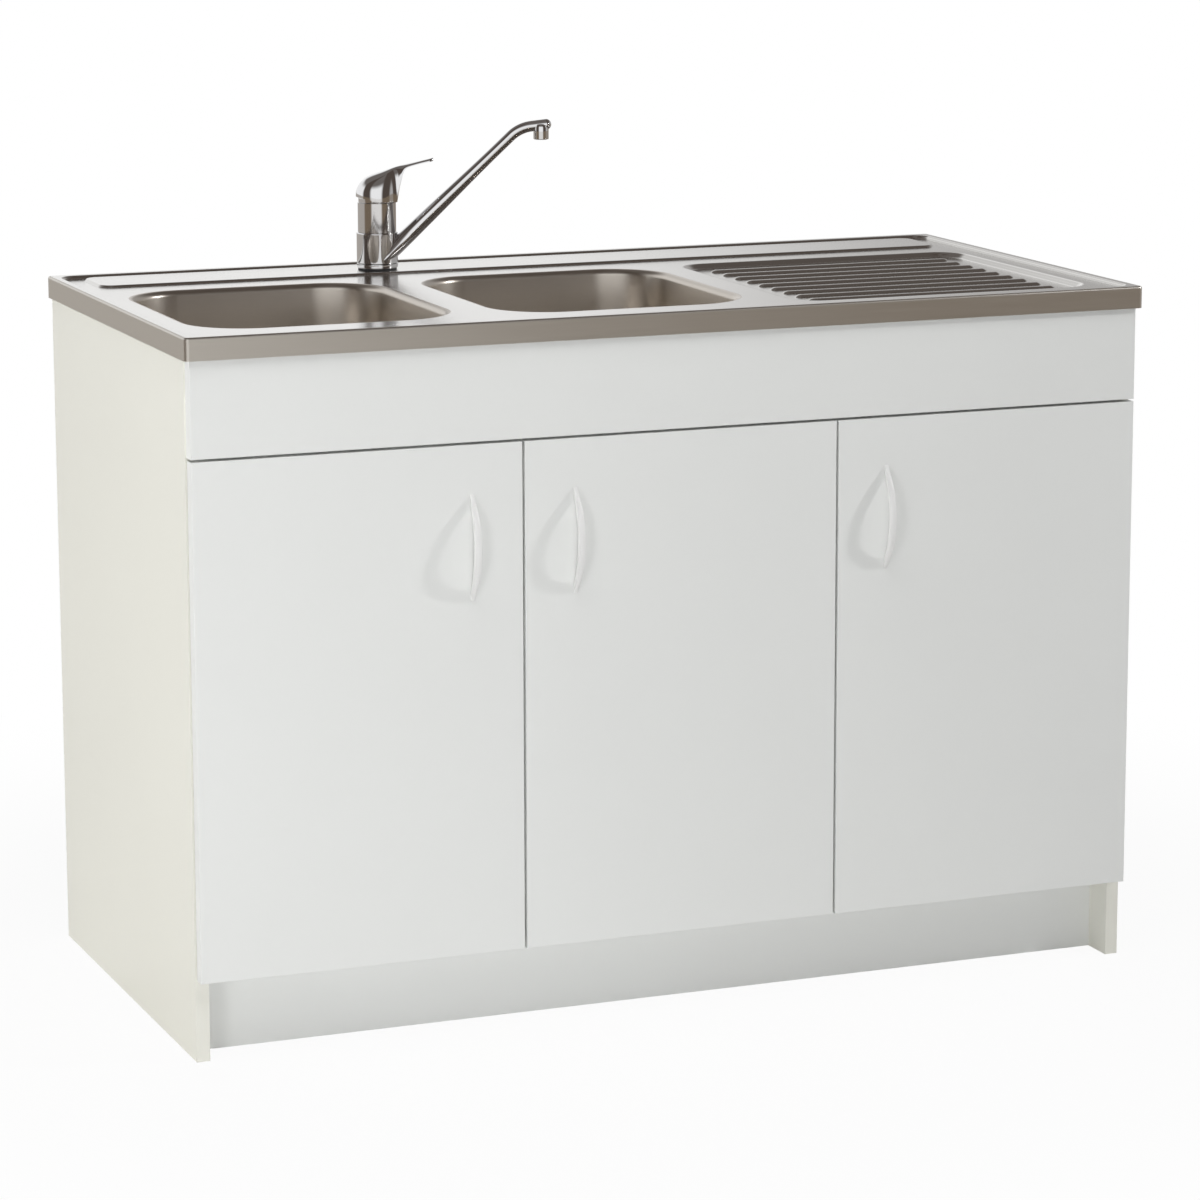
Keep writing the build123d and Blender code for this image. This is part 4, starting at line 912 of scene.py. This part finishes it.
def makeCamera():
    c = cameraView
    data = bpy.data.cameras.new("photoView")
    made = bpy.data.objects.new("photoView", data)
    bpy.context.scene.collection.objects.link(made)
    made.location = c["place"]
    level = math.cos(c["pitch"])
    look = Vector((math.sin(c["yaw"]) * level, math.cos(c["yaw"]) * level, math.sin(c["pitch"])))
    made.rotation_mode = "QUATERNION"
    made.rotation_quaternion = look.to_track_quat("-Z", "Y")
    data.sensor_width = c["sensor"]
    data.lens = c["focalPixels"] / c["frame"] * data.sensor_width
    data.shift_x = (c["frame"] / 2 - c["centre"][0]) / c["frame"]
    data.shift_y = (c["centre"][1] - c["frame"] / 2) / c["frame"]
    data.clip_end = c["farthest"]
    bpy.context.scene.camera = made


makeCamera()

studio = {
    "sky": 0.19,
    "floorSize": 40, "floorTone": 0.9, "floorRough": 0.9, "floorGlow": (0.93, 1.0), "glowReach": (0.7, 1.6),
    "facing": (-0.37, -0.93, 0), "window": (0.79, 0.92), "backdrop": (0.32, 0.1),
    "wallTones": ((0.088, 0.07, 0.06), (1, 1, 1)), "wallBack": 1.0,
    "floorTones": ((0.19, 0.147, 0.105), (0.82, 0.805, 0.78)), "floorBack": 0.42,
    "rightDim": (0.33, 0.47), "rightLevel": 0.42, "ceiling": (0.35, 0.7), "ceilingLevel": 0.08,
}
lamps = {  # place, aim, watts, size, spread in degrees, and whether the metal shows it
    "key": ((3.06, -1.65, 2.34), (0, -0.2, 0.5), 38, 0.26, 180, True),
    "fill": ((-4.2, 0.3, 0.8), (-0.6, 0, 0.4), 65, 1.6, 180, False),
    "side": ((-2.4, -2.6, 0.6), (-0.3, -0.3, 0.35), 15, 0.7, 180, False),
    "front": ((-1.2, -3.6, 0.4), (-0.7, 0, 0.3), 8.8, 0.3, 95, False),
    "top": ((-0.7, -1.15, 3.0), (-0.4, -0.3, 0.5), 20, 1.3, 180, False),
    "back": ((0.1, 2.0, 0.6), (0, 0.3, 0.45), 6, 1.2, 140, False),
}


def areaLight(name, place, aim, watts, size, spread, shown):
    data = bpy.data.lights.new(name + "Light", "AREA")
    data.energy = watts
    data.size = size
    data.spread = math.radians(spread)
    made = bpy.data.objects.new(name + "Light", data)
    bpy.context.scene.collection.objects.link(made)
    made.location = place
    made.rotation_mode = "QUATERNION"
    made.rotation_quaternion = (Vector(aim) - Vector(place)).to_track_quat("-Z", "Y")
    made.visible_glossy = shown


def ramp(shade, value, span):  # 0 to 1 with soft ends
    sockets = {0: value, 1: span[0], 2: span[1], 3: 0.0, 4: 1.0}
    return shade.node("ShaderNodeMapRange", {"interpolation_type": "SMOOTHSTEP"}, sockets)


def outputs(val, *names):
    return [Val(val.shade, val.socket.node.outputs[name]) for name in names]


def vectors(shade, operation, *values, out=0):
    return shade.node("ShaderNodeVectorMath", {"operation": operation}, dict(enumerate(values)), out)


# what the metal shows: a pale window behind the camera, dark walls beside it and a pale back
def roomTone(shade, way, tones, backLevel):
    s = studio
    unit = vectors(shade, "NORMALIZE", vectors(shade, "MULTIPLY", way, (1, 1, 0)))
    facing = vectors(shade, "DOT_PRODUCT", unit, s["facing"], out="Value")
    pale = ramp(shade, facing, s["window"]).atLeast(ramp(shade, facing, s["backdrop"]) * backLevel)
    right = outputs(shade.node("ShaderNodeSeparateXYZ", None, {0: unit}), "X")[0]
    above = outputs(shade.node("ShaderNodeSeparateXYZ", None, {0: way}), "Z")[0]
    pale = pale * (1 - ramp(shade, right, s["rightDim"]) * (1 - s["rightLevel"]))
    pale = pale * (1 - ramp(shade, above, s["ceiling"]) * (1 - s["ceilingLevel"]))
    return shade.mix(pale, colour(*tones[0]), colour(*tones[1]))


def makeSky():  # white to the camera, dim light for the boards, the room for the metal
    s = studio
    world = bpy.data.worlds.new("studioSky")
    bpy.context.scene.world = world
    sky = Shade(world)
    camera, glossy, through = outputs(
        sky.node("ShaderNodeLightPath"), "Is Camera Ray", "Is Glossy Ray", "Is Transmission Ray",
    )
    room = roomTone(sky, sky.node("ShaderNodeTexCoord", out="Generated"), s["wallTones"], s["wallBack"])
    background = sky.tree.nodes["Background"]
    sky.put(background.inputs["Color"], sky.mix(glossy, colour(1, 1, 1), room))
    seen = camera.atLeast(glossy).atLeast(through)
    sky.put(background.inputs["Strength"], s["sky"] + seen * (1 - s["sky"]))


def makeFloor():  # pale, with soft shadows near the cabinet and plain white farther out
    s = studio
    edge = s["floorSize"] / 2
    shade = Shade(bpy.data.materials.new("paleFloor"))
    skin = shade.skin({"Base Color": colour(*[s["floorTone"]] * 3), "Roughness": s["floorRough"]})
    place = shade.node("ShaderNodeTexCoord", out="Object")
    away = vectors(shade, "LENGTH", place, out="Value")
    near, far = s["floorGlow"]
    share = near + ramp(shade, away, s["glowReach"]) * (far - near)
    camera, glossy = outputs(shade.node("ShaderNodeLightPath"), "Is Camera Ray", "Is Glossy Ray")
    tone = shade.mix(glossy, colour(1, 1, 1), roomTone(shade, place, s["floorTones"], s["floorBack"]))
    glow = shade.node("ShaderNodeEmission", None, {"Color": tone, "Strength": 1.0})
    surface = Val(shade, shade.tree.nodes["Principled BSDF"].outputs[0])
    blend = shade.node("ShaderNodeMixShader", None, {0: glossy.atLeast(camera * share), 1: surface, 2: glow})
    shade.put(shade.tree.nodes["Material Output"].inputs["Surface"], blend)
    corners = [(-edge, -edge, 0), (edge, -edge, 0), (edge, edge, 0), (-edge, edge, 0)]
    meshObject("floor", corners, [(0, 1, 2, 3)], [skin])


def makeStudio():
    for name, settings in lamps.items():
        areaLight(name, *settings)
    makeSky()
    makeFloor()


makeStudio()
bpy.context.scene.view_settings.view_transform = "Standard"
print("camera and studio set")
